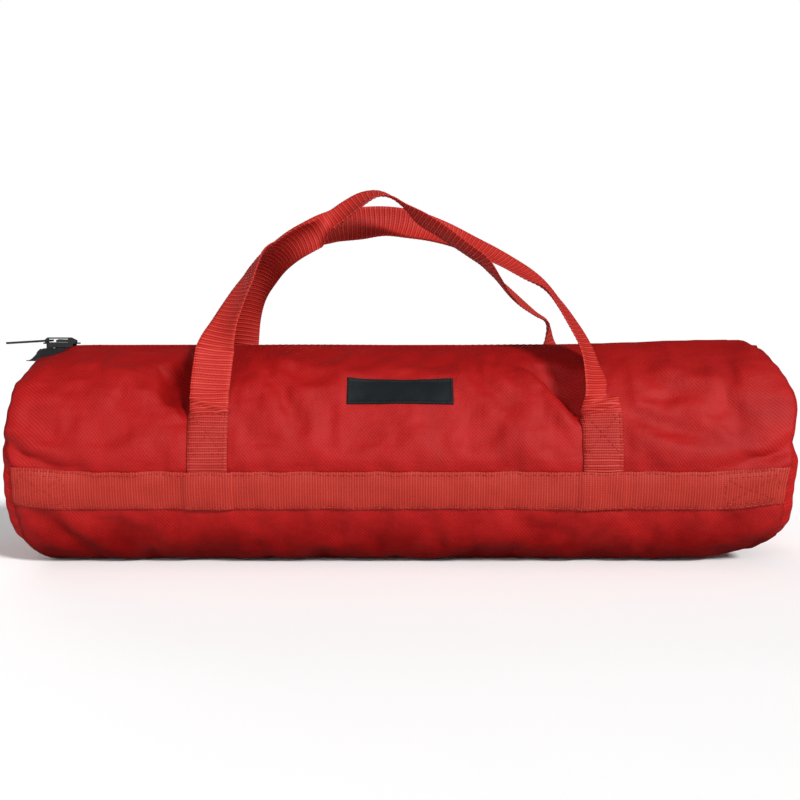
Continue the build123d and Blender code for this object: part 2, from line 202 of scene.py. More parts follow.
def relief(x, s):
    """How far the cloth stands out of the plain section."""
    d = np.zeros(x.shape)
    top = smooth(14, 40, s) * smooth(14, 40, LEN - s)
    bottom = smooth(LEN / 2 - 45, LEN / 2 - 75, s) + smooth(LEN / 2 + 45, LEN / 2 + 75, s)
    side_keep = np.clip(bottom, 0, 1)
    ends = smooth(HALF, HALF - 26, np.abs(x))
    # slack in the cloth
    d += 1.15 * value_noise(x, s * 1.15, 62, 3) * side_keep * ends
    d += 0.75 * value_noise(x + 0.35 * s, s * 1.3 - 0.3 * x, 27, 5) * side_keep * ends
    d += 0.45 * value_noise(0.7 * x - 0.5 * s, s + 0.5 * x, 17, 6) * side_keep * ends
    d += 0.28 * value_noise(x - 0.6 * s, s + 0.5 * x, 11, 8) * side_keep
    d += 0.10 * value_noise(x + 0.8 * s, 0.8 * s - x, 6.0, 9) * side_keep
    # pulled in by the end seams and puffed out just inside them
    e = HALF - np.abs(x)
    d += -2.4 * np.exp(-e / 4.0) + 1.1 * np.exp(-(((e - 15) / 10) ** 2)) * side_keep
    pucker = np.sin(s * 0.52 + 1.7 * value_noise(x * 0, s, 30, 21)) * np.exp(-e / 11.0)
    d += 0.42 * pucker * side_keep
    # pulled in along both edges of each band
    for side in (-1, 1):
        sc = BAND_SC[side] + side * band_shift(x)
        for k in (-1, 1):
            edge = sc + k * (WEB / 2 - 1.5)
            d += -0.75 * np.exp(-(((s - edge) / 4.0) ** 2))
            quilt = 0.5 + 0.5 * np.sin(x * 2 * math.pi / 23.0 + 2.2 * value_noise(x, s * 0, 40, 31 + k))
            d += -0.55 * quilt * np.exp(-(((s - edge - k * 4) / 5.0) ** 2)) * ends
        # the cloth swells between the band and the base
        d += 1.3 * np.exp(-(((s - (BAND_SC[side] - side * 38)) / 17) ** 2)) * ends
    # the handles pull the cloth up beside their sewn legs
    for side, legs in ((-1, FRONT_LEGS), (1, REAR_LEGS)):
        for x0 in legs:
            sc = s_at(88, side)
            for k in (-1, 1):
                d += -0.8 * np.exp(-(((x - x0 - k * 13.5) / 3.2) ** 2) - (((s - sc) / 24) ** 2))
            d += 0.9 * np.exp(-(((x - x0) / 16) ** 2) - (((s - s_at(112, side)) / 10) ** 2))
    l0, l1 = FRONT_LEGS
    f = -1
    d += dent(x, s, l0 - 27, 121, f, 25, 11.5, 76, 11.6)
    d += dent(x, s, l0 - 13, 110, f, 9, 5, 90, 3.0)
    d += dent(x, s, l0 - 2, 126, f, 16, 9, 90, -2.4)
    d += dent(x, s, l0 - 44, 135, f, 24, 10, 40, 2.2)
    d += dent(x, s, l1 - 23, 121, f, 23, 9.5, 66, 8.8)
    d += dent(x, s, l1 - 2, 126, f, 16, 9, 90, -1.8)
    d += dent(x, s, l1 - 42, 135, f, 26, 9, 28, 3.8)
    d += fold(x, s, [(l1 - 14, 92, 0.2), (l1 - 17, 104, 1), (l1 - 30, 122, 0.8), (l1 - 52, 136, 0.2)], f, 4.5, 2.3)
    d += fold(x, s, [(l0 - 15, 97, 0.3), (l0 - 17, 112, 1), (l0 - 28, 130, 0.5), (l0 - 44, 138, 0.1)], f, 4.5, 1.9)
    # creases that run in from the ends, just above the band
    d += fold(x, s, [(-248, 84, 0.9), (-238, 74, 1), (-224, 69, 0.5), (-205, 67, 0.1)], f, 5.0, 2.6)
    d += fold(x, s, [(248, 82, 0.8), (236, 74, 1), (218, 70, 0.6), (196, 68, 0.1)], f, 5.5, 2.6)
    d += fold(x, s, [(-247, 96, 0.3), (-228, 92, 0.5), (-200, 84, 0.3), (-180, 78, 0.1)], f, 7.0, 1.1)
    # soft folds either side of the label and towards the right end
    d += fold(x, s, [(-92, 128, 0.2), (-78, 116, 0.9), (-70, 104, 0.8), (-66, 92, 0.2)], f, 6.5, 1.5)
    d += fold(x, s, [(-98, 140, 0.3), (-88, 132, 0.8), (-60, 124, 0.6), (-44, 122, 0.1)], f, 6.0, 1.4)
    d += fold(x, s, [(48, 132, 0.3), (58, 120, 0.8), (72, 108, 0.8), (82, 96, 0.3)], f, 7.0, 1.6)
    d += fold(x, s, [(66, 138, 0.4), (88, 128, 0.8), (104, 116, 0.5)], f, 6.0, 1.6)
    d += fold(x, s, [(150, 134, 0.3), (172, 122, 0.8), (198, 112, 0.6), (226, 106, 0.2)], f, 8.0, 1.7)
    d += fold(x, s, [(160, 98, 0.3), (184, 90, 0.8), (210, 82, 0.7), (232, 78, 0.3)], f, 7.0, 1.5)
    d += fold(x, s, [(-206, 138, 0.3), (-198, 124, 0.7), (-182, 112, 0.6), (-168, 104, 0.2)], f, 8.0, 1.3)
    d += fold(x, s, [(-240, 128, 0.4), (-222, 118, 0.8), (-204, 110, 0.4)], f, 7.0, 1.3)
    # soft folds under the band
    d += fold(x, s, [(-236, 34, 0.6), (-218, 22, 0.9), (-206, 12, 0.6), (-198, 6, 0.2)], f, 7.0, 1.8)
    d += fold(x, s, [(236, 38, 0.6), (220, 30, 0.8), (198, 24, 0.5), (170, 20, 0.2)], f, 7.0, 1.5)
    d += fold(x, s, [(-60, 34, 0.2), (-40, 24, 0.7), (-14, 18, 0.6), (20, 16, 0.2)], f, 8.0, 1.1)
    d += fold(x, s, [(60, 36, 0.2), (86, 26, 0.7), (122, 20, 0.5), (150, 18, 0.1)], f, 8.0, 1.1)
    # the rear side has its own folds
    r = 1
    r0, r1 = REAR_LEGS
    d += dent(x, s, r0 + 22, 123, r, 24, 10, 80, 3.6)
    d += dent(x, s, r1 - 22, 123, r, 24, 10, 100, 3.6)
    d += fold(x, s, [(r0 + 15, 96, 0.3), (r0 + 18, 110, 1), (r0 + 34, 128, 0.5)], r, 5.0, 1.8)
    d += fold(x, s, [(r1 - 15, 96, 0.3), (r1 - 18, 110, 1), (r1 - 36, 128, 0.5)], r, 5.0, 1.8)
    d += fold(x, s, [(-247, 84, 0.8), (-234, 75, 1), (-210, 70, 0.4)], r, 5.5, 2.2)
    d += fold(x, s, [(247, 84, 0.8), (234, 75, 1), (210, 70, 0.4)], r, 5.5, 2.2)
    d += fold(x, s, [(-60, 132, 0.3), (-30, 118, 0.8), (10, 108, 0.6), (50, 104, 0.2)], r, 8.0, 1.5)
    d += fold(x, s, [(150, 130, 0.4), (176, 116, 0.8), (206, 104, 0.5)], r, 8.0, 1.5)
    d += fold(x, s, [(-210, 128, 0.4), (-184, 112, 0.8), (-160, 100, 0.4)], r, 8.0, 1.5)
    d += fold(x, s, [(-150, 34, 0.3), (-110, 24, 0.8), (-60, 18, 0.4)], r, 8.0, 1.3)
    d += fold(x, s, [(70, 34, 0.3), (120, 24, 0.8), (180, 20, 0.4)], r, 8.0, 1.3)
    # where the cloth rests on the floor it is flat, and by the zipper it is held straight
    return d * np.clip(side_keep + 0.25 * (1 - side_keep) * (d > 0) * 0, 0, 1) * (0.12 + 0.88 * top)


def top_line(x, y):
    """Height changes along the top: a fuller right end, a drooping left end."""
    ay = np.abs(y)
    full = np.interp(x, [-250, -213, -184, -150, -71, 14, 60, 110, 156, 184, 213, 236, 250],
                     [0, 0.4, -0.9, 0.2, 1.6, -0.6, 1.0, 3.2, 4.8, 5.8, 6.6, 6.4, 3.2])
    up = np.where(full > 0, full, 0) * smooth(6, 17, ay) * smooth(66, 34, ay)
    down = np.where(full < 0, full, 0) * smooth(6, 12, ay) * smooth(60, 30, ay)
    droop = -6.0 * smooth(-219, -250, x) * smooth(4.8, 8.0, ay) * smooth(76, 20, ay)
    droop_r = -2.6 * smooth(236, 250, x) * smooth(6, 14, ay) * smooth(70, 20, ay)
    lips = 1.9 * np.exp(-(((ay - 7.0) / 2.6) ** 2)) * smooth(-250, -226, x)
    return up + down + droop + droop_r + lips


D1 = relief(GX, GS)
PY, PZ = GY + NY * D1, GZ + NZ * D1
lift = np.where(GX > 0, np.interp(GX, *LIFT_R), np.interp(GX, *LIFT_L))
k = 0.42 * lift + 1e-9
gap = lift - PZ
PZ = np.where(lift > 0.001, PZ + (gap + np.sqrt(gap * gap + k * k)) / 2, PZ)
upper = GZ > ZC
PZ = np.where(upper, PZ + top_line(GX, GY), PZ)
# the end rims are drawn in a little at their lower corners
near_end = smooth(HALF - 34, HALF, np.abs(GX))
PY = PY * (1 - 0.015 * near_end * smooth(46, 12, GZ))
PZ = np.maximum(PZ, 0.0)
# the end rims lean: out at the top of the right end and at the bottom of the left
LEAN_R = np.interp(GZ, [0, 40, 56, 62, 70, 80, 92, 98, 105, 111, 118, 124, 130, 136, 142],
                   [0, 0, 0.3, 1.2, 3.4, 5.0, 6.4, 8.0, 9.6, 10.6, 9.4, 7.4, 5.4, 2.2, 0.3])
LEAN_L = np.interp(GZ, [0, 25, 45, 56, 66, 72, 78, 85, 92, 105, 111, 118, 124, 131, 138, 145],
                   [0, 0.4, 1.4, 1.2, 1.9, 3.7, 5.8, 6.6, 6.6, 6.2, 5.6, 6.0, 6.0, 3.4, 1.4, 0.2])
PX = GX + LEAN_R * smooth(226, 250, GX) - LEAN_L * smooth(226, 250, -GX)
P1 = np.stack([PX, PY, PZ], -1)
du, dv = np.gradient(P1, axis=0), np.gradient(P1, axis=1)
N1 = np.cross(dv, du)
N1 /= np.linalg.norm(N1, axis=-1, keepdims=True)
out = np.sign(np.sum(N1 * np.stack([0 * GX, GY, GZ - ZC * 0.9], -1), -1))
N1 *= np.median(out)


def grid_faces(n, m, base=0, flip=False, wrap=False):
    i, j = np.meshgrid(np.arange(n - 1), np.arange(m if wrap else m - 1), indexing="ij")
    j2 = (j + 1) % m
    q = np.stack([base + i * m + j, base + (i + 1) * m + j, base + (i + 1) * m + j2, base + i * m + j2], -1).reshape(-1, 4)
    return q[:, ::-1] if flip else q


ROLL_Z = sum(v.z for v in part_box("tunnel_sleeve")) * 500
TIE_R = 63.4


def clear_of_roll(P):
    """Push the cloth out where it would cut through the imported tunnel."""
    x, y, z = P[..., 0], P[..., 1], P[..., 2] - ROLL_Z
    r = np.hypot(y, z)
    keep = 61.6 + 3.4 * smooth(22, 15, np.abs(np.abs(x) - 134.0))
    keep = keep - 30 * smooth(212, 236, np.abs(x))
    out = 0.5 * (r + keep + np.sqrt((r - keep) ** 2 + 1.2))
    k = np.where(r < keep + 4, out / r, 1.0)
    P = P.copy()
    P[..., 1] = y * k
    P[..., 2] = np.maximum(z * k + ROLL_Z, 0.0)
    return P


def settle(nx=84, ns=78, frames=24):
    """Cloth simulation of the barrel's skin, held at its seams; returns how far each point of P1 moves outwards."""
    sx, ss = np.meshgrid(np.linspace(0, len(X1) - 1, nx), np.linspace(0, len(S1) - 1, ns), indexing="ij")
    i, j = np.round(sx).astype(int), np.round(ss).astype(int)
    start, normal = P1[i, j], N1[i, j]
    x, s = X1[i], S1[j]
    hold = smooth(HALF - 9, HALF - 4, np.abs(x))
    hold = np.maximum(hold, smooth(13, 6, s) + smooth(13, 6, LEN - s))
    hold = np.maximum(hold, smooth(43, 36, np.abs(s - LEN / 2)))
    for side, legs in ((-1, FRONT_LEGS), (1, REAR_LEGS)):
        sc = BAND_SC[side] + side * band_shift(x)
        hold = np.maximum(hold, smooth(15, 11, np.abs(s - sc)))
        for x0 in legs:
            top = s_at(107, side)
            on = smooth(14.5, 11.5, np.abs(x - x0)) * (smooth(top - 4, top + 2, s) if side < 0 else smooth(top + 4, top - 2, s))
            hold = np.maximum(hold, on * (smooth(LEN / 2, LEN / 2 - 9, s) if side < 0 else smooth(LEN / 2, LEN / 2 + 9, s)))
    patch = smooth(40, 35, np.abs(x)) * smooth(s_at(127, -1), s_at(124, -1), s) * smooth(s_at(104, -1), s_at(107, -1), s)
    hold = np.clip(np.maximum(hold, 0.8 * patch), 0, 1)
    me = bpy.data.meshes.new("settle")
    me.from_pydata((start.reshape(-1, 3) * 0.001).tolist(), [], [[a, a + ns, a + ns + 1, a + 1] for r in range(nx - 1) for a in range(r * ns, r * ns + ns - 1)])
    me.update()
    ob = bpy.data.objects.new("settle", me)
    scene.collection.objects.link(ob)
    if np.sum(np.array(me.polygons[(nx // 2) * (ns - 1) + ns // 4].normal) * normal[nx // 2, ns // 4]) < 0:
        me.flip_normals()
    group = ob.vertex_groups.new(name="hold")
    for v, w in enumerate(hold.ravel()):
        if w > 0.001:
            group.add([v], float(w), "REPLACE")
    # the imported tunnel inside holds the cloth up
    m = 96
    cx, ca = np.meshgrid(np.linspace(-HALF - 4, HALF + 4, 60), np.linspace(0, 2 * math.pi, m + 1)[:-1], indexing="ij")
    core_r = 71.0 + 0.6 * np.sin(cx * 0.11 + 2 * ca)
    core = np.stack([cx, core_r * np.cos(ca), np.maximum(ZC + core_r * np.sin(ca), 1.5)], -1)
    core_me = bpy.data.meshes.new("core")
    core_me.from_pydata((core.reshape(-1, 3) * 0.001).tolist(), [], grid_faces(60, m, 0, False, True).tolist())
    core_me.update()
    probe = core_me.polygons[30 * m + 5]
    if probe.normal.y * probe.center.y + probe.normal.z * (probe.center.z - ZC * 0.001) < 0:
        core_me.flip_normals()
    core_ob = bpy.data.objects.new("core", core_me)
    scene.collection.objects.link(core_ob)
    core_ob.modifiers.new("collision", "COLLISION")
    core_ob.collision.thickness_outer = 0.0006
    core_ob.collision.cloth_friction = 12.0
    mod = ob.modifiers.new("cloth", "CLOTH")
    c = mod.settings
    c.quality = 6
    c.mass = 0.25
    c.tension_stiffness, c.compression_stiffness, c.shear_stiffness, c.bending_stiffness = 22, 22, 8, 0.4
    c.tension_damping = c.compression_damping = c.shear_damping = 12
    c.air_damping = 4.0
    c.vertex_group_mass = "hold"
    c.shrink_min = -0.030
    c.use_pressure = True
    c.uniform_pressure_force = 0.9
    c.effector_weights.gravity = 0.6
    mod.collision_settings.use_collision = True
    mod.collision_settings.distance_min = 0.0005
    mod.collision_settings.collision_quality = 2
    mod.point_cache.frame_start, mod.point_cache.frame_end = 1, frames
    for frame_no in range(1, frames + 1):
        scene.frame_set(frame_no)
    moved = ob.evaluated_get(bpy.context.evaluated_depsgraph_get()).data
    co = np.zeros(len(moved.vertices) * 3, np.float32)
    moved.vertices.foreach_get("co", co)
    out_ = co.reshape(nx, ns, 3).astype(float) * 1000 - start
    scene.frame_set(1)
    for o, m_ in ((ob, me), (core_ob, core_me)):
        bpy.data.objects.remove(o)
        bpy.data.meshes.remove(m_)
    d = np.sum(out_ * normal, -1)
    # keep it soft: one pass of smoothing over the simulation's own grid
    q = np.pad(d, 1, mode="edge")
    d = (4 * d + q[2:, 1:-1] + q[:-2, 1:-1] + q[1:-1, 2:] + q[1:-1, :-2]) / 8
    # keep its wrinkles, and little of its sag: the section's own outline is measured
    low = d
    for _ in range(2):
        for axis in (0, 1):
            q = np.pad(low, [(3, 3) if a_ == axis else (0, 0) for a_ in (0, 1)], mode="edge")
            low = sum(q[i_:i_ + nx] if axis == 0 else q[:, i_:i_ + ns] for i_ in range(7)) / 7
    d = (1.35 * (d - low) + 0.15 * low) * (1 - 0.9 * hold)
    u = np.linspace(0, nx - 1.0001, len(X1))
    v = np.linspace(0, ns - 1.0001, len(S1))
    ui, vi = u.astype(int), v.astype(int)
    a, b = (u - ui)[:, None], (v - vi)[None, :]
    a, b = a * a * (3 - 2 * a), b * b * (3 - 2 * b)
    g = lambda m, n_: d[np.minimum(ui + m, nx - 1)][:, np.minimum(vi + n_, ns - 1)]
    field = (g(0, 0) * (1 - a) + g(1, 0) * a) * (1 - b) + (g(0, 1) * (1 - a) + g(1, 1) * a) * b
    return 2.6 * np.tanh(field / 2.6)


moved_by = settle()
# the zipper holds the top up
moved_by = moved_by * (0.3 + 0.7 * smooth(10, 34, GS) * smooth(10, 34, LEN - GS))
# the straps lie on the cloth above their sewn legs and press it in
for side_, legs_ in ((-1, FRONT_LEGS), (1, REAR_LEGS)):
    for x0_ in legs_:
        near = smooth(27, 17, np.abs(GX - x0_)) * smooth(36, 24, np.abs(GS - s_at(124, side_)))
        moved_by = np.minimum(moved_by, 3.0 - 3.7 * near)
# and the deep hollows beside them stay hollow
moved_by = np.minimum(moved_by, 3.0 * smooth(-7.0, -2.5, relief(GX, GS)) - 0.2)
P1 = P1 + N1 * moved_by[..., None]
P1[..., 2] = np.maximum(P1[..., 2], 0.0)
P1 = clear_of_roll(P1)
du, dv = np.gradient(P1, axis=0), np.gradient(P1, axis=1)
N1 = np.cross(dv, du)
N1 /= np.linalg.norm(N1, axis=-1, keepdims=True)
N1 *= np.median(np.sign(np.sum(N1 * np.stack([0 * GX, GY, GZ - ZC * 0.9], -1), -1)))


def at(x, s, h=0.0):
    """Point h mm off the cloth's outer face, at x along the bag and s round its section."""
    x, s, h = np.broadcast_arrays(np.asarray(x, float), np.asarray(s, float), np.asarray(h, float))
    u = np.clip((x + HALF) / (2 * HALF) * (len(X1) - 1), 0, len(X1) - 1.0001)
    v = np.clip(s / LEN * (len(S1) - 1), 0, len(S1) - 1.0001)
    i, j = u.astype(int), v.astype(int)
    a, b = (u - i)[..., None], (v - j)[..., None]
    mix = lambda g: (g[i, j] * (1 - a) + g[i + 1, j] * a) * (1 - b) + (g[i, j + 1] * (1 - a) + g[i + 1, j + 1] * a) * b
    p, n = mix(P1), mix(N1)
    n /= np.linalg.norm(n, axis=-1, keepdims=True)
    return p + n * h[..., None]


# ------------------------------------------------------------- mesh helpers
def add_mesh(name, verts, faces, material, cloth=None, flat=False):
    """A mesh object from points in mm; cloth is each point's place on the flat cloth, in mm."""
    me = bpy.data.meshes.new(name)
    me.from_pydata((np.asarray(verts) * 0.001).tolist(), [], [list(map(int, f)) for f in faces])
    me.update()
    if cloth is not None:
        c = np.zeros((len(me.vertices), 3), np.float32)
        c[:, : cloth.shape[1]] = cloth * 0.001
        me.attributes.new("cloth", "FLOAT_VECTOR", "POINT").data.foreach_set("vector", c.ravel())
    me.polygons.foreach_set("use_smooth", [not flat] * len(me.polygons))
    me.materials.append(material)
    ob = bpy.data.objects.new(name, me)
    scene.collection.objects.link(ob)
    return ob


def rim_faces(n, m, a, b):
    """Faces that join the four edges of grid a to those of grid b, both n by m."""
    ring = [(i, 0) for i in range(n)] + [(n - 1, j) for j in range(1, m)]
    ring += [(i, m - 1) for i in range(n - 2, -1, -1)] + [(0, j) for j in range(m - 2, 0, -1)]
    idx = [i * m + j for i, j in ring]
    return [(a + p, a + q, b + q, b + p) for p, q in zip(idx, idx[1:] + idx[:1])]


def fix_normals(ob):
    import bmesh

    bm = bmesh.new()
    bm.from_mesh(ob.data)
    bmesh.ops.recalc_face_normals(bm, faces=bm.faces)
    bm.to_mesh(ob.data)
    bm.free()
    return ob


def slab(name, outer, inner, material, cloth):
    """Closed sheet between two n by m grids of points."""
    n, m = outer.shape[:2]
    v = np.concatenate([outer.reshape(-1, 3), inner.reshape(-1, 3)])
    f = list(grid_faces(n, m)) + list(grid_faces(n, m, n * m, True)) + rim_faces(n, m, 0, n * m)
    c = np.concatenate([cloth.reshape(-1, cloth.shape[-1])] * 2)
    return fix_normals(add_mesh(name, v, f, material, c))


# ---------------------------------------------------------------- materials
def srgb(r, g, b):
    f = lambda c: ((c / 255 + 0.055) / 1.055) ** 2.4 if c > 10 else c / 255 / 12.92
    return (f(r), f(g), f(b), 1.0)


class Nodes:
    """Small helper that builds one procedural material."""

    def __init__(self, name):
        self.m = bpy.data.materials.new(name)
        self.m.use_nodes = True
        self.t = self.m.node_tree
        self.bsdf = self.t.nodes["Principled BSDF"]

    def add(self, kind, **inputs):
        n = self.t.nodes.new(kind)
        for key, value in inputs.items():
            if hasattr(n, key) and not key[0].isupper():
                setattr(n, key, value)
        return n

    def link(self, a, b):
        self.t.links.new(a, b)

    def math(self, op, a, b=0.0, c=None):
        n = self.t.nodes.new("ShaderNodeMath")
        n.operation = op
        for i, v in enumerate((a, b) if c is None else (a, b, c)):
            if isinstance(v, (int, float)):
                n.inputs[i].default_value = v
            else:
                self.link(v, n.inputs[i])
        return n.outputs[0]

    def cloth(self):
        a = self.t.nodes.new("ShaderNodeAttribute")
        a.attribute_name = "cloth"
        x = self.t.nodes.new("ShaderNodeSeparateXYZ")
        self.link(a.outputs["Vector"], x.inputs[0])
        return a.outputs["Vector"], x.outputs[0], x.outputs[1]

    def position(self):
        return self.t.nodes.new("ShaderNodeTexCoord").outputs["Object"]

    def noise(self, vector, scale, detail=3.0, rough=0.55):
        n = self.t.nodes.new("ShaderNodeTexNoise")
        n.inputs["Scale"].default_value = scale
        n.inputs["Detail"].default_value = detail
        n.inputs["Roughness"].default_value = rough
        self.link(vector, n.inputs["Vector"])
        return n.outputs["Fac"]

    def wave(self, coordinate, pitch):
        """A smooth wave from 0 to 1 along a coordinate in metres."""
        a = self.math("MULTIPLY", coordinate, 2 * math.pi / pitch)
        return self.math("MULTIPLY_ADD", self.math("SINE", a), 0.5, 0.5)

    def ramp(self, fac, stops):
        n = self.t.nodes.new("ShaderNodeValToRGB")
        e = n.color_ramp.elements
        while len(e) < len(stops):
            e.new(0.5)
        for el, (p, c) in zip(e, stops):
            el.position, el.color = p, c
        self.link(fac, n.inputs[0])
        return n.outputs[0]

    def mix(self, fac, a, b, kind="MIX"):
        n = self.t.nodes.new("ShaderNodeMix")
        n.data_type, n.blend_type = "RGBA", kind
        for socket, v in zip((n.inputs[0], n.inputs[6], n.inputs[7]), (fac, a, b)):
            if isinstance(v, (int, float, tuple)):
                socket.default_value = v
            else:
                self.link(v, socket)
        return n.outputs[2]

    def bump(self, height, distance, strength=1.0, below=None):
        n = self.t.nodes.new("ShaderNodeBump")
        n.inputs["Strength"].default_value = strength
        n.inputs["Distance"].default_value = distance
        self.link(height, n.inputs["Height"])
        if below is not None:
            self.link(below, n.inputs["Normal"])
        return n.outputs[0]

    def set(self, **values):
        for key, v in values.items():
            s = self.bsdf.inputs[key.replace("_", " ")]
            if isinstance(v, (int, float, tuple)):
                s.default_value = v
            else:
                self.link(v, s)
        return self.m


def polyester(name, deep, mid, light, base=None):
    """Coated woven polyester: a fine basket weave with a diagonal twill over it."""
    n = Nodes(name)
    vec, x, y = n.cloth()
    diag = n.math("SUBTRACT", n.math("MULTIPLY", x, 0.77), n.math("MULTIPLY", y, 0.64))
    wobble = n.noise(vec, 160.0, 2.0)
    diag = n.math("ADD", diag, n.math("MULTIPLY", wobble, 0.0006))
    twill = n.wave(diag, 0.00165)
    warp, weft = n.wave(x, 0.00078), n.wave(y, 0.00078)
    weave = n.math("MULTIPLY", warp, weft)
    blotch = n.noise(vec, 34.0, 4.0, 0.6)
    speck = n.noise(vec, 900.0, 2.0, 0.7)
    tone = n.math("ADD", n.math("MULTIPLY", twill, 0.24), n.math("MULTIPLY", weave, 0.20))
    tone = n.math("ADD", tone, n.math("MULTIPLY", speck, 0.34))
    tone = n.math("ADD", tone, n.math("MULTIPLY", blotch, 0.38))
    colour = n.ramp(tone, [(0.22, deep), (0.52, mid), (0.92, light)])
    if base:
        # painted shade: the cloth near the base is darker
        d = n.math("ABSOLUTE", n.math("SUBTRACT", y, base))
        wear_and_shade = n.t.nodes.new("ShaderNodeMapRange")
        wear_and_shade.interpolation_type = "SMOOTHSTEP"
        wear_and_shade.inputs["From Min"].default_value, wear_and_shade.inputs["From Max"].default_value = 0.045, 0.102
        wear_and_shade.inputs["To Min"].default_value, wear_and_shade.inputs["To Max"].default_value = 0.40, 1.0
        n.link(n.math("ADD", d, n.math("MULTIPLY", n.math("SUBTRACT", blotch, 0.5), 0.03)), wear_and_shade.inputs["Value"])
        grey = n.t.nodes.new("ShaderNodeCombineColor")
        for i in range(3):
            n.link(wear_and_shade.outputs["Result"], grey.inputs[i])
        colour = n.mix(1.0, colour, grey.outputs[0], "MULTIPLY")
        # painted shade: the cloth is also darker towards the top, by the zipper
        top_shade = n.t.nodes.new("ShaderNodeMapRange")
        top_shade.interpolation_type = "SMOOTHSTEP"
        top_shade.inputs["From Min"].default_value, top_shade.inputs["From Max"].default_value = 0.165, 0.218
        top_shade.inputs["To Min"].default_value, top_shade.inputs["To Max"].default_value = 1.0, 0.80
        n.link(d, top_shade.inputs["Value"])
        grey = n.t.nodes.new("ShaderNodeCombineColor")
        for i in range(3):
            n.link(top_shade.outputs["Result"], grey.inputs[i])
        colour = n.mix(1.0, colour, grey.outputs[0], "MULTIPLY")
        # painted shade in the hollow beside the front left strap
        hx = n.math("MULTIPLY", n.math("ADD", x, 0.146), 1 / 0.0135)
        hy = n.math("MULTIPLY", n.math("SUBTRACT", y, s_at(123.0, -1) * 0.001), 1 / 0.023)
        hollow = n.t.nodes.new("ShaderNodeMapRange")
        hollow.interpolation_type = "SMOOTHSTEP"
        hollow.inputs["From Min"].default_value, hollow.inputs["From Max"].default_value = 0.1, 1.6
        hollow.inputs["To Min"].default_value, hollow.inputs["To Max"].default_value = 0.56, 1.0
        n.link(n.math("ADD", n.math("MULTIPLY", hx, hx), n.math("MULTIPLY", hy, hy)), hollow.inputs["Value"])
        grey = n.t.nodes.new("ShaderNodeCombineColor")
        for i in range(3):
            n.link(hollow.outputs["Result"], grey.inputs[i])
        colour = n.mix(1.0, colour, grey.outputs[0], "MULTIPLY")
        # the specular level drops with the same painted shade
        both = n.math("MULTIPLY", n.math("MULTIPLY", wear_and_shade.outputs["Result"], hollow.outputs["Result"]), top_shade.outputs["Result"])
        shine = n.math("MULTIPLY", n.math("MULTIPLY", both, both), 0.20)
    rough = n.math("MULTIPLY_ADD", speck, 0.12, 0.58)
    height = n.math("ADD", n.math("MULTIPLY", twill, 0.35), n.math("MULTIPLY", weave, 0.6))
    shine = shine if base else 0.16
    fine = n.bump(height, 0.00014, 0.7)
    crumple = n.bump(n.noise(vec, 70.0, 4.0, 0.5), 0.0022, 0.5, fine)
    return n.set(Base_Color=colour, Roughness=rough, Normal=crumple, Specular_IOR_Level=shine,
                 Sheen_Weight=0.0, Sheen_Roughness=0.4, Sheen_Tint=(1.0, 0.35, 0.35, 1.0))


def webbing(name, deep, mid, light, coarse=0.06, legs=False):
    """Woven polypropylene strap: cross ribs with a fine lengthwise weave."""
    n = Nodes(name)
    vec, x, y = n.cloth()
    rib = n.wave(n.math("ADD", x, n.math("MULTIPLY", n.noise(vec, 220.0, 2.0), 0.0004)), 0.0017)
    yarn = n.wave(y, 0.00115)
    # painted shade in the grooves between the coarse ribs, weighted by coarse
    rib_groove_shade = n.wave(n.math("ADD", x, n.math("MULTIPLY", n.noise(vec, 90.0, 2.0), 0.0009)), 0.0034)
    speck = n.noise(vec, 1100.0, 2.0, 0.7)
    blotch = n.noise(vec, 55.0, 3.0)
    tone = n.math("ADD", n.math("MULTIPLY", rib, 0.40), n.math("MULTIPLY", yarn, 0.16))
    tone = n.math("ADD", tone, n.math("MULTIPLY", speck, 0.30))
    tone = n.math("ADD", tone, n.math("MULTIPLY", blotch, 0.22))
    tone = n.math("ADD", tone, n.math("MULTIPLY", rib_groove_shade, coarse))
    colour = n.ramp(tone, [(0.22, deep), (0.58, mid), (0.98, light)])
    if legs:
        # the sewn legs are darkened back to the bands' tone: the lighter tone of this copy is painted light
        part = n.t.nodes.new("ShaderNodeSeparateXYZ")
        n.link(vec, part.inputs[0])
        shade = n.math("MULTIPLY_ADD", part.outputs[2], -190.0, 1.0)
        grey = n.t.nodes.new("ShaderNodeCombineColor")
        for i in range(3):
            n.link(shade, grey.inputs[i])
        colour = n.mix(1.0, colour, grey.outputs[0], "MULTIPLY")
    height = n.math("ADD", n.math("MULTIPLY", rib, 0.7), n.math("MULTIPLY", yarn, 0.35))
    return n.set(Base_Color=colour, Roughness=n.math("MULTIPLY_ADD", speck, 0.14, 0.5),
                 Normal=n.bump(height, 0.00022, 0.7), Specular_IOR_Level=0.22,
                 Sheen_Weight=0.02, Sheen_Roughness=0.4, Sheen_Tint=(1.0, 0.5, 0.45, 1.0))


def woven_tape(name, dark, light, pitch=0.0009):
    n = Nodes(name)
    p = n.position()
    x = n.t.nodes.new("ShaderNodeSeparateXYZ")
    n.link(p, x.inputs[0])
    a = n.wave(n.math("ADD", x.outputs[0], x.outputs[1]), pitch)
    b = n.wave(n.math("SUBTRACT", x.outputs[0], x.outputs[1]), pitch)
    tone = n.math("ADD", n.math("MULTIPLY", n.math("MAXIMUM", a, b), 0.6), n.math("MULTIPLY", n.noise(p, 500.0), 0.4))
    return n.set(Base_Color=n.ramp(tone, [(0.2, dark), (1.0, light)]), Roughness=0.7,
                 Normal=n.bump(tone, 0.0001, 0.6), Sheen_Weight=0.05, Specular_IOR_Level=0.15)


def thread(name, dark, light):
    n = Nodes(name)
    p = n.position()
    tone = n.noise(p, 700.0, 3.0, 0.6)
    return n.set(Base_Color=n.ramp(tone, [(0.3, dark), (0.75, light)]), Roughness=0.48,
                 Normal=n.bump(n.noise(p, 2600.0, 1.0), 0.0001, 0.5), Specular_IOR_Level=0.12)


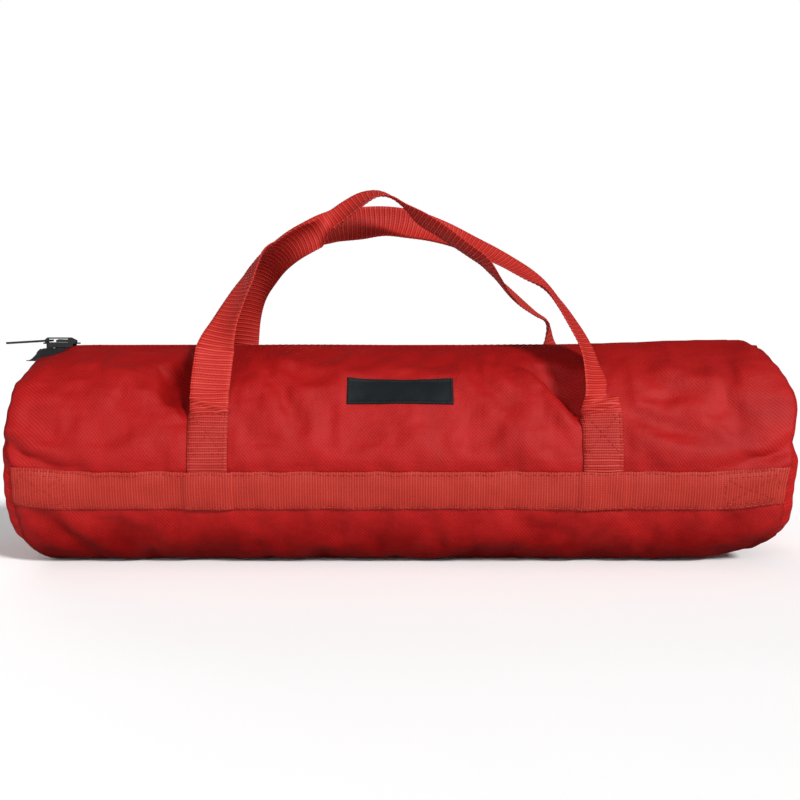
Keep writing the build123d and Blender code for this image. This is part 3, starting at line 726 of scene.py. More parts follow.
def enamel(name, base, edge, rough=0.34):
    """Black spray-painted die-cast metal, rubbed a little lighter in patches."""
    n = Nodes(name)
    p = n.position()
    wear_and_shade = n.noise(p, 260.0, 5.0, 0.65)
    grain = n.noise(p, 2400.0, 2.0)
    colour = n.ramp(wear_and_shade, [(0.45, base), (0.78, edge)])
    return n.set(Base_Color=colour, Roughness=n.math("MULTIPLY_ADD", grain, 0.2, rough - 0.1),
                 Normal=n.bump(grain, 0.00003, 0.35), Specular_IOR_Level=0.3)


def steel(name):
    n = Nodes(name)
    p = n.position()
    s = n.noise(p, 900.0, 3.0)
    return n.set(Base_Color=n.ramp(n.noise(p, 90.0), [(0.3, (0.42, 0.43, 0.45, 1)), (0.8, (0.62, 0.63, 0.65, 1))]),
                 Metallic=1.0, Roughness=n.math("MULTIPLY_ADD", s, 0.25, 0.2))


def nylon(name, colour):
    n = Nodes(name)
    p = n.position()
    tone = n.noise(p, 1200.0, 2.0)
    return n.set(Base_Color=n.ramp(tone, [(0.2, colour), (0.9, tuple(min(1, c * 2.2) for c in colour[:3]) + (1,))]),
                 Roughness=n.math("MULTIPLY_ADD", tone, 0.15, 0.3), Specular_IOR_Level=0.5)


def label_rubber(name):
    n = Nodes(name)
    vec, x, y = n.cloth()
    cloudy = n.noise(vec, 45.0, 3.0, 0.6)
    grain = n.noise(vec, 1500.0, 2.0)
    colour = n.ramp(cloudy, [(0.3, (0.005, 0.0065, 0.0075, 1)), (0.7, (0.009, 0.011, 0.0125, 1))])
    return n.set(Base_Color=colour, Roughness=n.math("MULTIPLY_ADD", grain, 0.2, 0.45),
                 Normal=n.bump(grain, 0.00008, 0.5), Specular_IOR_Level=0.12)


SHELL = ((0.150, 0.0006, 0.0006, 1), (0.290, 0.0018, 0.0018, 1), (0.44, 0.009, 0.007, 1))
RED = polyester("shell polyester", *SHELL)
# the barrel's copy of the shell cloth, with painted shade towards its base, its top and beside the front left strap
RED_BARREL = polyester("barrel polyester", *SHELL, base=LEN / 2000)
LINING = polyester("tunnel polyester", (0.150, 0.0010, 0.0012, 1), (0.25, 0.0026, 0.0028, 1), (0.36, 0.009, 0.009, 1))
STRAP = webbing("red webbing", (0.225, 0.0070, 0.0036, 1), (0.310, 0.0160, 0.0085, 1), (0.42, 0.042, 0.027, 1))
# the handle webbing is the bands' webbing in a lighter painted-light tone, matched to the lit loops, with stronger
# painted shade between its ribs
LOOP = webbing("red handle webbing", (0.215, 0.0022, 0.0012, 1), (0.345, 0.0080, 0.0048, 1), (0.50, 0.050, 0.036, 1), 0.22, True)
THREAD = thread("red thread", (0.24, 0.010, 0.007, 1), (0.46, 0.045, 0.034, 1))
THREAD_DARK = thread("dark red thread", (0.15, 0.003, 0.003, 1), (0.32, 0.012, 0.011, 1))
TAPE = woven_tape("zipper tape weave", (0.004, 0.004, 0.005, 1), (0.014, 0.0145, 0.016, 1))
BINDING = woven_tape("binding weave", (0.012, 0.012, 0.013, 1), (0.045, 0.045, 0.05, 1), 0.0014)
COIL = nylon("coil nylon", (0.012, 0.012, 0.014, 1))
METAL = enamel("black enamel", (0.004, 0.004, 0.005, 1), (0.014, 0.014, 0.016, 1))
LABEL = label_rubber("label rubber")
LABEL_THREAD = thread("black thread", (0.006, 0.006, 0.008, 1), (0.03, 0.032, 0.036, 1))
STEEL = steel("spring steel")


def done(ob, body, slot_name, *nodes):
    """Ride and stand-in in one go."""
    if body:
        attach(ob, body)
    if nodes:
        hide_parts(*nodes)
    return ob


# ------------------------------------------------------------------ barrel
nx, ns = (201, 187)
gx, gs = np.meshgrid(np.linspace(-HALF, HALF, nx), np.linspace(0, LEN, ns), indexing="ij")
outer = at(gx, gs)
inner = at(gx, gs, -1.0)
inner[..., 2] = np.maximum(inner[..., 2], 1.0)
barrel = slab("barrel_cloth", outer, inner, RED_BARREL, np.stack([gx, gs], -1))
done(barrel, "bag", "shell_cloth", "barrel_panel")


# -------------------------------------------------------------- end panels
def end_panel(side):
    m = 220
    s = np.linspace(0, LEN, m)
    rim = at(side * HALF, s, -0.5)
    # across the zipper, from the rear lip back to the front lip
    bridge = np.linspace(0, 1, 8)[1:-1, None]
    rim = np.concatenate([rim, rim[-1] * (1 - bridge) + rim[0] * bridge])
    if side < 0:
        low = smooth(20, 9, np.abs(rim[:, 1])) * (rim[:, 2] > 100)
        rim[:, 2] = np.where(low > 0, np.minimum(rim[:, 2], rim[:, 2] * (1 - low) + (H - 7.6) * low), rim[:, 2])
    cy, cz = 0.0, (rim[:, 2].max() + rim[:, 2].min()) / 2
    rr = np.concatenate([1 - np.array([0, 0.6, 1.4, 2.4, 3.6, 5, 6.6, 8.6, 11, 14, 18]) / 75.0,
                         np.linspace(0.72, 0.03, 20)])
    pts = np.zeros((len(rr), len(rim), 3))
    for i, r in enumerate(rr):
        y, z = cy + (rim[:, 1] - cy) * r, cz + (rim[:, 2] - cz) * r
        e = (1 - r) * 75.0
        ang = np.arctan2(rim[:, 2] - cz, rim[:, 1] - cy)
        under = smooth(-0.6, -0.99, np.sin(ang))
        over = smooth(-0.25, 0.35, np.sin(ang))
        reach = 1.5 + 6.0 * under + 12.0 * over + (5.5 * np.exp(-(((np.sin(ang) - 0.0) / 0.13) ** 2)) if side > 0 else 0)
        puff = 9.6 * (1 - np.exp(-e / reach)) - 0.9 * (1 - r) ** 1.2
        gather = np.sin(ang * 17 + 2.2 * value_noise(ang * 10, ang * 0, 7, 63)) * (0.5 + 0.5 * value_noise(ang * 10, ang * 0, 5, 64))
        puff = puff + 0.45 * math.exp(-((e - 9) / 7) ** 2) * gather
        puff = puff + (1.1 * value_noise(y + 40 * side, z, 46, 61) + 0.45 * value_noise(y, z, 19, 62)) * smooth(2, 22, e)
        pts[i] = np.stack([side * (HALF - 1.2 + np.clip(puff, 0, 11.0)) + (rim[:, 0] - side * HALF) * float(smooth(0.35, 1.0, r)), y, z], -1)
    n, mm = pts.shape[:2]
    inside = pts.copy()
    inside[..., 0] -= side * 1.0
    inside[..., 1:] = (inside[..., 1:] - (cy, cz)) * 0.988 + (cy, cz)
    v = np.concatenate([pts.reshape(-1, 3), inside.reshape(-1, 3)])
    c1, c2 = len(v), len(v) + 1
    mid = pts[-1].mean(0)
    v = np.concatenate([v, [mid, mid - (side * 1.0, 0, 0)]])
    f = list(grid_faces(n, mm, 0, False, True)) + list(grid_faces(n, mm, n * mm, True, True))
    last, last2 = (n - 1) * mm, n * mm + (n - 1) * mm
    for j in range(mm):
        k = (j + 1) % mm
        f.append((last + j, last + k, c1))
        f.append((last2 + k, last2 + j, c2))
        f.append((j, k, n * mm + k, n * mm + j))
    ob = add_mesh("end_cloth_" + ("left" if side < 0 else "right"), v, f, RED, v[:, 1:])
    fix_normals(ob)
    done(ob, "bag", "shell_cloth", "end_panel_" + ("left" if side < 0 else "right"))
    return ob


end_left, end_right = end_panel(-1), end_panel(1)

# the seams are bound on the inside with a woven tape
for side, word in ((-1, "left"), (1, "right")):
    bx, bs = np.meshgrid(side * np.linspace(HALF - 11.5, HALF - 1.6, 9), np.linspace(3.0, LEN - 3.0, 230), indexing="ij")
    roll_in = 0.35 * np.sin(bs * 0.9 + value_noise(bs, bx, 12, 44))
    top_face, low_face = at(bx, bs, -1.25), at(bx, bs, -2.1 + 0.2 * roll_in)
    top_face[..., 2] = np.maximum(top_face[..., 2], 1.15)
    low_face[..., 2] = np.maximum(low_face[..., 2], 2.0)
    done(slab("seam_binding_tape_" + word, top_face, low_face, BINDING, np.stack([bx, bs], -1)),
         "bag", "binding", "seam_binding_" + word)


# ----------------------------------------------------------------- ribbons
def ribbon(name, place, along, material, thick=1.35, width=WEB, ribs=0.13, across=11, edge_wave=None, coarse=0.0):
    """Closed strap. place(t, u, h) gives the point at t along, u across and h off the strap's middle."""
    t = np.asarray(along, float)
    us = np.linspace(-1, 1, across)
    rng = np.random.default_rng(17)
    rib_no = np.floor(t / 1.7).astype(int)
    strength = 0.7 + 0.6 * rng.random(rib_no.max() - rib_no.min() + 2)[rib_no - rib_no.min()]
    rib = ribs * np.sin(2 * math.pi * t / 1.7) * strength
    rib = rib + coarse * np.sin(2 * math.pi * t / 3.4 + 0.6) * (0.65 + 0.35 * value_noise(t, 0 * t, 14, 18))
    rows, cloth = [], []
    for face in (1, -1):
        for u in (us if face > 0 else us[::-1]):
            a = abs(u)
            half = thick / 2 * (1 - 0.42 * smooth(0.86, 1.0, a))
            lump = 0.10 * math.cos(math.pi * 22 * u * 0.5) * (1 - smooth(0.9, 1.0, a))
            hh = face * (half + (rib + 0.04 * lump) * (1 - 0.5 * smooth(0.9, 1, a)))
            w = u * width / 2 * np.ones_like(t)
            if edge_wave is not None:
                w = w + np.sign(u) * smooth(0.8, 1.0, a) * edge_wave(t)
            rows.append(place(t, w, hh))
            cloth.append(np.stack([t, w + (face < 0) * 60.0], -1))
        # rounded selvedge
        u = face * 1.0
        w = u * (width / 2 + 0.30) * np.ones_like(t) + u * 0.12 * np.sin(2 * math.pi * t / 1.7 + 1)
        if edge_wave is not None:
            w = w + u * edge_wave(t)
        rows.append(place(t, w, 0 * t))
        cloth.append(np.stack([t, w], -1))
    pts = np.stack(rows, 1)
    cl = np.stack(cloth, 1)
    # mask of the sewn legs, which the handle webbing uses to paint them a shade darker
    leg = np.maximum(smooth(66, 50, t), smooth(t[-1] - 66, t[-1] - 50, t))
    cl = np.concatenate([cl, np.broadcast_to(leg[:, None, None], cl.shape[:2] + (1,))], -1)
    n, m = pts.shape[:2]
    f = list(grid_faces(n, m, 0, False, True))
    f.append(tuple(range(m))[::-1])
    f.append(tuple((n - 1) * m + j for j in range(m)))
    return fix_normals(add_mesh(name, pts.reshape(-1, 3), f, material, cl.reshape(-1, 3)))


# ---------------------------------------------------------------- stitches
def stitch_mesh(name, segments, material, radius=0.28, sink=0.35):
    """Short threads, each from a to b, arched a little off the surface with normal n."""
    verts, faces = [], []
    ring = 6
    prof = [(0.0, -sink, 0.55), (0.14, 0.05, 1.0), (0.5, 0.16, 1.05), (0.86, 0.05, 1.0), (1.0, -sink, 0.55)]
    for a, b, n in segments:
        a, b, n = np.asarray(a, float), np.asarray(b, float), np.asarray(n, float)
        d = b - a
        L = np.linalg.norm(d)
        if L < 1e-6:
            continue
        d = d / L
        side = np.cross(d, n)
        side /= np.linalg.norm(side)
        n = np.cross(side, d)
        base = len(verts)
        for f, h, k in prof:
            c = a + d * L * f + n * h
            for q in range(ring):
                ang = 2 * math.pi * q / ring
                verts.append(c + (side * math.cos(ang) + n * math.sin(ang)) * radius * k)
        for i in range(len(prof) - 1):
            for q in range(ring):
                q2 = (q + 1) % ring
                faces.append((base + i * ring + q, base + i * ring + q2, base + (i + 1) * ring + q2, base + (i + 1) * ring + q))
        faces.append(tuple(base + q for q in range(ring))[::-1])
        faces.append(tuple(base + (len(prof) - 1) * ring + q for q in range(ring)))
    return add_mesh(name, np.array(verts), faces, material)


def stitches_along(fn, t0, t1, pitch=4.6, length=3.5):
    """Stitch segments along a curve; fn(t) gives (point, normal) arrays."""
    count = max(1, int((t1 - t0) / pitch))
    start = t0 + ((t1 - t0) - count * pitch + (pitch - length)) / 2
    out_ = []
    for i in range(count):
        a, b = start + i * pitch, start + i * pitch + length
        pa, na = fn(a)
        pb, nb = fn(b)
        out_.append((pa, pb, na + nb))
    return out_


def surface_fn(xf, sf, h):
    def fn(t):
        x, s = float(xf(t)), float(sf(t))
        hh = float(h(t)) if callable(h) else h
        p = at(x, s, hh)
        n = at(x, s, hh + 1.0) - p
        return p, n
    return fn


# ------------------------------------------------------------------- bands
def over_legs(x, legs):
    """Extra height where a band passes over the tucked handle legs."""
    e = np.zeros(np.shape(x))
    for x0 in legs:
        e = np.maximum(e, smooth(17.5, 13.2, np.abs(np.asarray(x, float) - x0)))
    return 1.35 * e


stitch_band = {}
for side, legs, word in ((-1, FRONT_LEGS, "front"), (1, REAR_LEGS, "rear")):
    def place(t, w, h, side=side, legs=legs):
        s = BAND_SC[side] + side * band_shift(t) + side * w * -1.0
        s = s + 0.25 * value_noise(t, t * 0 + 7 * side, 60, 71)
        return at(t, s, 0.80 + over_legs(t, legs) + h)

    def wave(t):
        return -0.22 * (0.5 + 0.5 * np.cos(2 * math.pi * t / 4.6))

    xs = np.arange(-HALF + 0.6, HALF - 0.5, 0.425)
    band = ribbon(word + "_band_webbing", place, xs, STRAP, edge_wave=wave)
    done(band, "bag", "webbing", word + "_band")
    seg = []
    for k in (-1, 1):
        sf = lambda t, side=side, k=k: BAND_SC[side] + side * band_shift(t) + k * (WEB / 2 - 1.7)
        hf = lambda t, legs=legs: 1.62 + over_legs(t, legs)
        seg += stitches_along(surface_fn(lambda t: t, sf, hf), -HALF + 3, HALF - 3)
    # boxes with crosses at both ends of the band
    for x0, x1 in ((-HALF + 4.5, -HALF + 33.0), (HALF - 40.0, HALF - 6.0)):
        c = lambda x, v, side=side: BAND_SC[side] + side * band_shift(x) + v
        w = WEB / 2 - 4.4
        lines = [((x0, -w), (x0, w)), ((x1, -w), (x1, w)), ((x0, -w), (x1, w)), ((x0, w), (x1, -w)),
                 ((x0, -w), (x1, -w)), ((x0, w), (x1, w))]
        for (xa, va), (xb, vb) in lines:
            L = math.hypot(xb - xa, vb - va)
            fn = surface_fn(lambda t, xa=xa, xb=xb, L=L: xa + (xb - xa) * t / L,
                            lambda t, xa=xa, xb=xb, va=va, vb=vb, L=L, c=c: c(xa + (xb - xa) * t / L, va + (vb - va) * t / L),
                            1.60)
            seg += stitches_along(fn, 0.6, L - 0.6, 3.9, 2.9)
    st = stitch_mesh(word + "_band_stitches", seg, THREAD, 0.27)
    done(st, "bag", "webbing")

# ----------------------------------------------------------------- handles
F_PX = 50.0 / 36.0 * 800.0
CAM = np.array([0.0, -788.5, 153.4])
PC, PS = math.cos(math.radians(3.4)), math.sin(math.radians(3.4))


def spot(u, v, y):
    """The point at depth y that lies at (u, v) of the 800 by 800 view."""
    d = np.array([(u - 400) / F_PX, PC + PS * (400 - v) / F_PX, -PS + PC * (400 - v) / F_PX])
    t = (y - CAM[1]) / d[1]
    return CAM + d * t


def cubic(keys, values, t):
    """Catmull-Rom through values at keys (centripetal-like, by key distance)."""
    keys, values = np.asarray(keys, float), np.asarray(values, float)
    m = np.gradient(values, keys, axis=0)
    i = np.clip(np.searchsorted(keys, t, side="right") - 1, 0, len(keys) - 2)
    h = (keys[i + 1] - keys[i])[:, None]
    q = ((t - keys[i])[:, None]) / h
    a, b = values[i], values[i + 1]
    ma, mb = m[i] * h, m[i + 1] * h
    return (2 * q ** 3 - 3 * q ** 2 + 1) * a + (q ** 3 - 2 * q ** 2 + q) * ma + (-2 * q ** 3 + 3 * q ** 2) * b + (q ** 3 - q ** 2) * mb


# Each station: edge A and edge B of the strap as they lie in the view, the depth of the strap's middle, which edge
# is nearer (+1 for B, -1 for A) and how far the strap is curled across its width, in radians to one side.
FRONT_STATIONS = [
    ((190.5, 392), (229.0, 390), -62.0, 1, 0.15),
    ((191.5, 371), (232.8, 368), -57.0, 1, 0.15),
    ((197.0, 347), (235.5, 343), -49.0, 1, 0.2),
    ((209.5, 324), (239.5, 325), -42.0, 1, 0.25),
    ((224.0, 301.0), (247.0, 303), -33.0, 1, 0.25),
    ((240.0, 277.5), (256.0, 280), -22.0, 1, 0.2),
    ((249.8, 263.0), (260.2, 267.0), -13.0, 1, 0.2),
    ((258.0, 253.6), (263.6, 256.8), -7.0, 1, 0.18),
    ((267.0, 246.8), (269.5, 249.8), 0.0, 1, 0.15),
    ((291.5, 229.0), (297.0, 243), 12.0, 1, 0.2),
    ((314.0, 217.8), (316.0, 247.5), 17.0, 1, 0.3),
    ((338.0, 209.8), (337.0, 243.2), 19.0, 1, 0.5),
    ((362.0, 208.0), (360.0, 240.5), 18.0, 1, 0.65),
    ((386.0, 208), (386.0, 238), 16.0, 1, 0.75),
    ((412.0, 211.5), (410.0, 241), 13.0, 1, 0.7),
    ((442.0, 221.5), (437.0, 246.0), 10.0, 1, 0.5),
    ((474.0, 236.5), (467.0, 255), 4.0, 1, 0.3),
    ((508.0, 254), (501.0, 269.5), -7.0, 1, 0.2),
    ((533.0, 270.0), (526.5, 284), -18.0, 1, 0.2),
    ((549.0, 285), (547.5, 296), -28.0, 1, 0.25),
    ((562.0, 299.5), (554.0, 305.5), -35.0, 1, 0.2),
    ((576.5, 318.5), (565.0, 324.5), -42.0, 1, 0.15),
    ((593.5, 346), (578.0, 351), -50.0, 1, 0.15),
    ((604.5, 372), (582.5, 375), -57.0, 1, 0.15),
    ((614.0, 391), (583.5, 392), -62.0, 1, 0.15),
]
REAR_STATIONS = [
    ((224.0, 352), (258.8, 352), 52.5, -1, 0.15),
    ((226.0, 336), (258.5, 334), 46.5, -1, 0.2),
    ((232.0, 315), (259.2, 316), 39.0, -1, 0.3),
    ((242.0, 293), (263.0, 298), 30.0, -1, 0.4),
    ((254.5, 265), (271.5, 284), 19.0, -1, 0.5),
    ((268.5, 248.5), (284.0, 267.5), 5.0, -1, 0.7),
    ((288.5, 232.0), (299.5, 255.6), -7.0, -1, 0.95),
    ((309.0, 221.0), (317.0, 246.5), -13.0, -1, 1.15),
    ((329.0, 214.5), (338.0, 231.5), -16.0, 1, 0.95),
    ((345.0, 201.5), (356.0, 216.5), -17.0, 1, 0.5),
    ((359.0, 193.0), (368.5, 206.0), -17.0, 1, 0.3),
    ((376.0, 189.8), (380.5, 199.0), -17.0, 1, 0.2),
    ((391.0, 194.5), (389.5, 198.5), -17.0, 1, 0.15),
    ((404.5, 206.5), (404.5, 206.0), -16.0, 1, 0.1),
    ((416.5, 221.8), (421.5, 214.2), -16.0, 1, 0.15),
    ((437.0, 235.2), (442.8, 227.4), -15.0, 1, 0.2),
    ((461.6, 251.5), (466.2, 245.0), -15.0, 1, 0.2),
    ((479.0, 263.0), (483.0, 257.4), -12.0, 1, 0.15),
    ((494.0, 275.8), (494.6, 275.2), -2.0, 1, 0.1),
    ((508.0, 286.0), (502.4, 291.4), 12.0, 1, 0.15),
    ((522.0, 297.8), (515.6, 305.0), 24.5, 1, 0.15),
    ((537.0, 311.0), (532.0, 315.6), 35.0, 1, 0.12),
    ((548.6, 321.6), (545.2, 323.4), 41.5, 1, 0.1),
    ((552.2, 332.0), (543.4, 333.0), 45.5, 1, 0.12),
    ((555.0, 343.0), (539.5, 344.0), 49.5, 1, 0.15),
    ((561.0, 352.0), (530.5, 352.0), 52.8, 1, 0.15),
]


def handle(name, side, legs, stations, nodes):
    """One strap: sewn leg, free loop, sewn leg."""
    s_low, s_top = s_at(46.0, side), s_at(107.0, side)
    for x0, order in ((legs[0], 1), (legs[1], -1)):
        rows = []
        for z in (46.0, 56.0, 66.0, 76.0, 86.0, 96.0, 105.0):
            s = s_at(z, side)
            rows.append((at(x0, s, 0.85), None))
        if order > 0:
            first = rows
        else:
            last = rows[::-1]
    loop, curls, signs = [], [], []
    for a, b, y, sign, curl in stations:
        pa, pb = spot(*a, y), spot(*b, y)
        loop.append(((pa + pb) / 2, pb - pa))
        curls.append(curl)
        signs.append(float(sign))
    # stations along the strap: middle, width across as seen, which edge is nearer, curl
    C = np.array([p for p, _ in first] + [c for c, _ in loop] + [p for p, _ in last])
    seen = [np.array([WEB, 0, 0])] * len(first) + [w for _, w in loop] + [np.array([-WEB, 0, 0])] * len(last)
    key = np.concatenate([[0], np.cumsum(np.linalg.norm(np.diff(C, axis=0), axis=1))])
    total = key[-1]
    fine = np.arange(0, total, 0.425)

    def soften(a, taps=27):
        a = a if a.ndim > 1 else a[:, None]
        w = np.hanning(taps) / np.hanning(taps).sum()
        p = np.concatenate([np.repeat(a[:1], taps // 2, 0), a, np.repeat(a[-1:], taps // 2, 0)])
        return np.stack([np.convolve(p[:, i], w, "valid") for i in range(a.shape[1])], -1)

    cc = soften(cubic(key, C, fine))
    tt = np.gradient(cc, axis=0)
    tt /= np.linalg.norm(tt, axis=1, keepdims=True)
    pp = np.stack([tt[:, 2], 0 * tt[:, 0], -tt[:, 0]], -1)
    pp /= np.linalg.norm(pp, axis=1, keepdims=True)
    qq = np.cross(pp, tt)
    view = CAM - cc
    view -= pp * np.sum(view * pp, 1, keepdims=True)
    view /= np.linalg.norm(view, axis=1, keepdims=True)
    qq = qq + view
    qq /= np.linalg.norm(qq, axis=1, keepdims=True)
    at_key = np.stack([np.interp(key, fine, pp[:, i]) for i in range(3)], -1)
    ap = np.sum(np.array(seen) * at_key, 1)
    nearer = np.array([0.0] * len(first) + signs + [0.0] * len(last))
    bend = soften(np.interp(fine, key, np.array([0.0] * len(first) + curls + [0.0] * len(last))))[:, 0] + 0.02
    chord = WEB * np.sin(bend) / bend
    ap = soften(cubic(key, ap[:, None], fine), 15)[:, 0]
    ap = np.clip(ap / chord, -1, 1)
    nearer = np.clip(1.3 * soften(np.interp(fine, key, nearer))[:, 0], -1, 1)
    ww = pp * ap[:, None] + qq * (nearer * np.sqrt(1 - ap * ap))[:, None]
    nn = np.cross(ww, tt)
    nn /= np.linalg.norm(nn, axis=1, keepdims=True)
    # on the sewn legs the strap follows the cloth exactly
    zc_leg = key[6] - 4.0
    on_leg = np.maximum(smooth(zc_leg + 12, zc_leg - 6, fine), smooth(total - zc_leg - 12, total - zc_leg + 6, fine))
    crease_at = key[6] - 1.5

    def place(t, w, h):
        idx = np.clip(np.round(t / 0.425).astype(int), 0, len(fine) - 1)
        d_end = np.minimum(t, total - t)
        slant = w * np.where(t < total / 2, -0.42, -0.25)
        h = h - 0.95 * np.exp(-(((d_end - crease_at - slant) / 1.1) ** 2)) + 1.9 * np.exp(-(((d_end - crease_at - 3.6 - slant) / 2.1) ** 2))
        turn = bend[idx] * w / (WEB / 2)
        rho = WEB / 2 / bend[idx]
        free = cc[idx] + ww[idx] * ((rho - h) * np.sin(turn))[:, None]
        free = free + nn[idx] * (rho * (1 - np.cos(turn)) + h * np.cos(turn) - 0.35 * rho * (1 - np.cos(bend[idx])))[:, None]
        d = np.minimum(t, total - t)
        left = t < total / 2
        x0 = np.where(left, legs[0], legs[1])
        s = s_low + np.sign(s_top - s_low) * d
        sewn = at(x0 + np.where(left, w, -w), s, 0.85 - side * h)
        k = on_leg[idx][:, None]
        return free * (1 - k) + sewn * k

    strap = ribbon(name, place, fine, LOOP, ribs=0.10, coarse=0.17)
    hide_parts(*nodes)
    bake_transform(strap)
    # stitches of the sewn legs: both long edges, a line across the top and a cross
    seg = []
    for x0 in legs:
        fx = lambda t, x0=x0: x0
        s0, s1 = sorted((s_at(66.5, side), s_at(103.0, side)))
        for k in (-1, 1):
            seg += stitches_along(surface_fn(lambda t, x0=x0, k=k: x0 + k * (WEB / 2 - 1.9), lambda t: t, 1.62), s0, s1)
        a0, a1 = s_at(101.0, side), s_at(76.0, side)
        for (xa, sa), (xb, sb) in (((-10.4, a0), (10.4, a0)), ((-10.4, a1), (10.4, a1)), ((-10.4, a0), (10.4, a1)), ((10.4, a0), (-10.4, a1))):
            L = math.hypot(xb - xa, sb - sa)
            seg += stitches_along(surface_fn(lambda t, xa=xa, xb=xb, L=L, x0=x0: x0 + xa + (xb - xa) * t / L,
                                             lambda t, sa=sa, sb=sb, L=L: sa + (sb - sa) * t / L, 1.62), 0.6, L - 0.6, 3.9, 2.9)
    st = stitch_mesh(name.replace("webbing", "stitches"), seg, THREAD, 0.27)
    done(st, "bag", "webbing")
    return strap


front = handle("front_handle_webbing", -1, FRONT_LEGS, FRONT_STATIONS,
               ("front_handle", "front_handle_leg_left", "front_handle_leg_right"))
rear = handle("rear_handle_webbing", 1, REAR_LEGS, REAR_STATIONS,
              ("rear_handle", "rear_handle_leg_left", "rear_handle_leg_right"))

# ------------------------------------------------------------------- label
l_lo, l_hi = (v * 1000 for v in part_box("label_patch"))
ls0, ls1 = s_at(l_hi.z, -1), s_at(l_lo.z, -1)
lx = np.unique(np.concatenate([np.linspace(l_lo.x, l_hi.x, 57), [l_lo.x + 0.4, l_lo.x + 1.6, l_lo.x + 2.3, l_hi.x - 2.3, l_hi.x - 1.6, l_hi.x - 0.4]]))
lsv = np.unique(np.concatenate([np.linspace(ls0, ls1, 21), [ls0 + 0.4, ls0 + 1.6, ls0 + 2.3, ls1 - 2.3, ls1 - 1.6, ls1 - 0.4]]))
ax, as_ = np.meshgrid(lx, lsv, indexing="ij")
ed = np.minimum(np.minimum(ax - l_lo.x, l_hi.x - ax), np.minimum(as_ - ls0, ls1 - as_))
height = 0.55 + 0.55 * smooth(0, 0.5, ed) - 0.28 * smooth(1.5, 2.4, ed) + 0.05 * value_noise(ax, as_, 9, 81)
label = slab("label", at(ax, as_, height), at(ax, as_, 0.12), LABEL, np.stack([ax, as_], -1))
done(label, "bag", "label", "label_patch")
seg = []
i0, i1, j0, j1 = l_lo.x + 1.1, l_hi.x - 1.1, ls0 + 1.1, ls1 - 1.1
for (xa, sa), (xb, sb) in (((i0, j0), (i1, j0)), ((i0, j1), (i1, j1)), ((i0, j0), (i0, j1)), ((i1, j0), (i1, j1))):
    L = math.hypot(xb - xa, sb - sa)
    seg += stitches_along(surface_fn(lambda t, xa=xa, xb=xb, L=L: xa + (xb - xa) * t / L,
                                     lambda t, sa=sa, sb=sb, L=L: sa + (sb - sa) * t / L, 1.16), 0.3, L - 0.3, 2.6, 1.9)
done(stitch_mesh("label_stitches", seg, LABEL_THREAD, 0.2, 0.25), "bag", "label")

# ------------------------------------------------------------------ zipper
z_mid = H
for side, word in ((-1, "front"), (1, "rear")):
    xs = np.arange(-HALF - 12.0, HALF - 0.9, 2.0)
    us = np.array([1.5, 2.4, 3.6, 4.8, 6.0, 7.5, 9.0, 10.5, 12.0, 14.0, 17.5])
    tx, tu = np.meshgrid(xs, us, indexing="ij")
    back = lip_shift(tx)
    s_in = np.clip(tu - LIP - back, 0, LEN)
    under = at(np.clip(tx, -HALF, HALF), s_in if side < 0 else LEN - s_in, -1.15)
    under[..., 1] = side * np.where(tu < LIP + back, tu, np.abs(under[..., 1]))
    zz = ZC + np.sqrt((R - 1.05) ** 2 - tu ** 2)
    near = np.stack([tx, side * tu, zz], -1)
    k = smooth(4.4, 8.0 + back, tu)[..., None]
    top_face = near * (1 - k) + under * k
    top_face[..., 0] = tx
    tail = smooth(-HALF - 1.0, -HALF - 14.0, tx)
    top_face[..., 2] -= 9.0 * tail
    beyond = smooth(-HALF + 1, -HALF - 9.0, tx)
    top_face[..., 1] = side * (np.abs(top_face[..., 1]) * (1 - 0.42 * beyond))
    top_face[..., 2] = np.where(tx < -HALF, np.maximum(top_face[..., 2], H - 9.5), top_face[..., 2])
    low = top_face.copy()
    low[..., 2] -= 0.55
    tape = slab("zipper_tape_cloth_" + word, top_face, low, TAPE, np.stack([tx, tu], -1))
    done(tape, "bag", "zipper_tape", "zipper_tape_" + word)
    # coil: one small loop of nylon for each tooth
    c_lo, c_hi = (v * 1000 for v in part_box("zipper_coil_" + word))
    verts, faces = [], []
    path = np.array([(3.65, -0.95), (3.75, -0.2), (3.3, 0.28), (1.7, 0.30), (1.12, 0.12), (0.98, -0.32), (1.3, -0.75), (2.4, -0.92)])
    for x in np.arange(c_lo.x + 0.8, c_hi.x - 0.4, 2.0):
        base = len(verts)
        for i, (py, pz) in enumerate(path):
            a, b = path[max(i - 1, 0)], path[min(i + 1, len(path) - 1)]
            tan = (b - a) / np.linalg.norm(b - a)
            nor = np.array([-tan[1], tan[0]])
            lean = 0.45 * (i / (len(path) - 1) - 0.5) * -side
            for q in range(6):
                ang = 2 * math.pi * q / 6
                o = nor * math.sin(ang) * 0.36
                verts.append((x + lean + math.cos(ang) * 0.5, side * (py + o[0]), H + pz + o[1]))
        for i in range(len(path) - 1):
            for q in range(6):
                q2 = (q + 1) % 6
                faces.append((base + i * 6 + q, base + i * 6 + q2, base + (i + 1) * 6 + q2, base + (i + 1) * 6 + q))
        faces.append(tuple(base + q for q in range(6))[::-1])
        faces.append(tuple(base + (len(path) - 1) * 6 + q for q in range(6)))
    coil = fix_normals(add_mesh("zipper_coil_loops_" + word, np.array(verts), faces, COIL))
    done(coil, "bag", "zipper_coil", "zipper_coil_" + word)
    # top-stitching beside the zipper
    seg = stitches_along(surface_fn(lambda t: t, lambda t, side=side: 3.2 if side < 0 else LEN - 3.2, 0.12), -HALF + 26, HALF - 5, 4.6, 3.4)
    done(stitch_mesh("zipper_stitches_" + word, seg, THREAD_DARK, 0.24, 0.3), "bag", "shell_cloth")


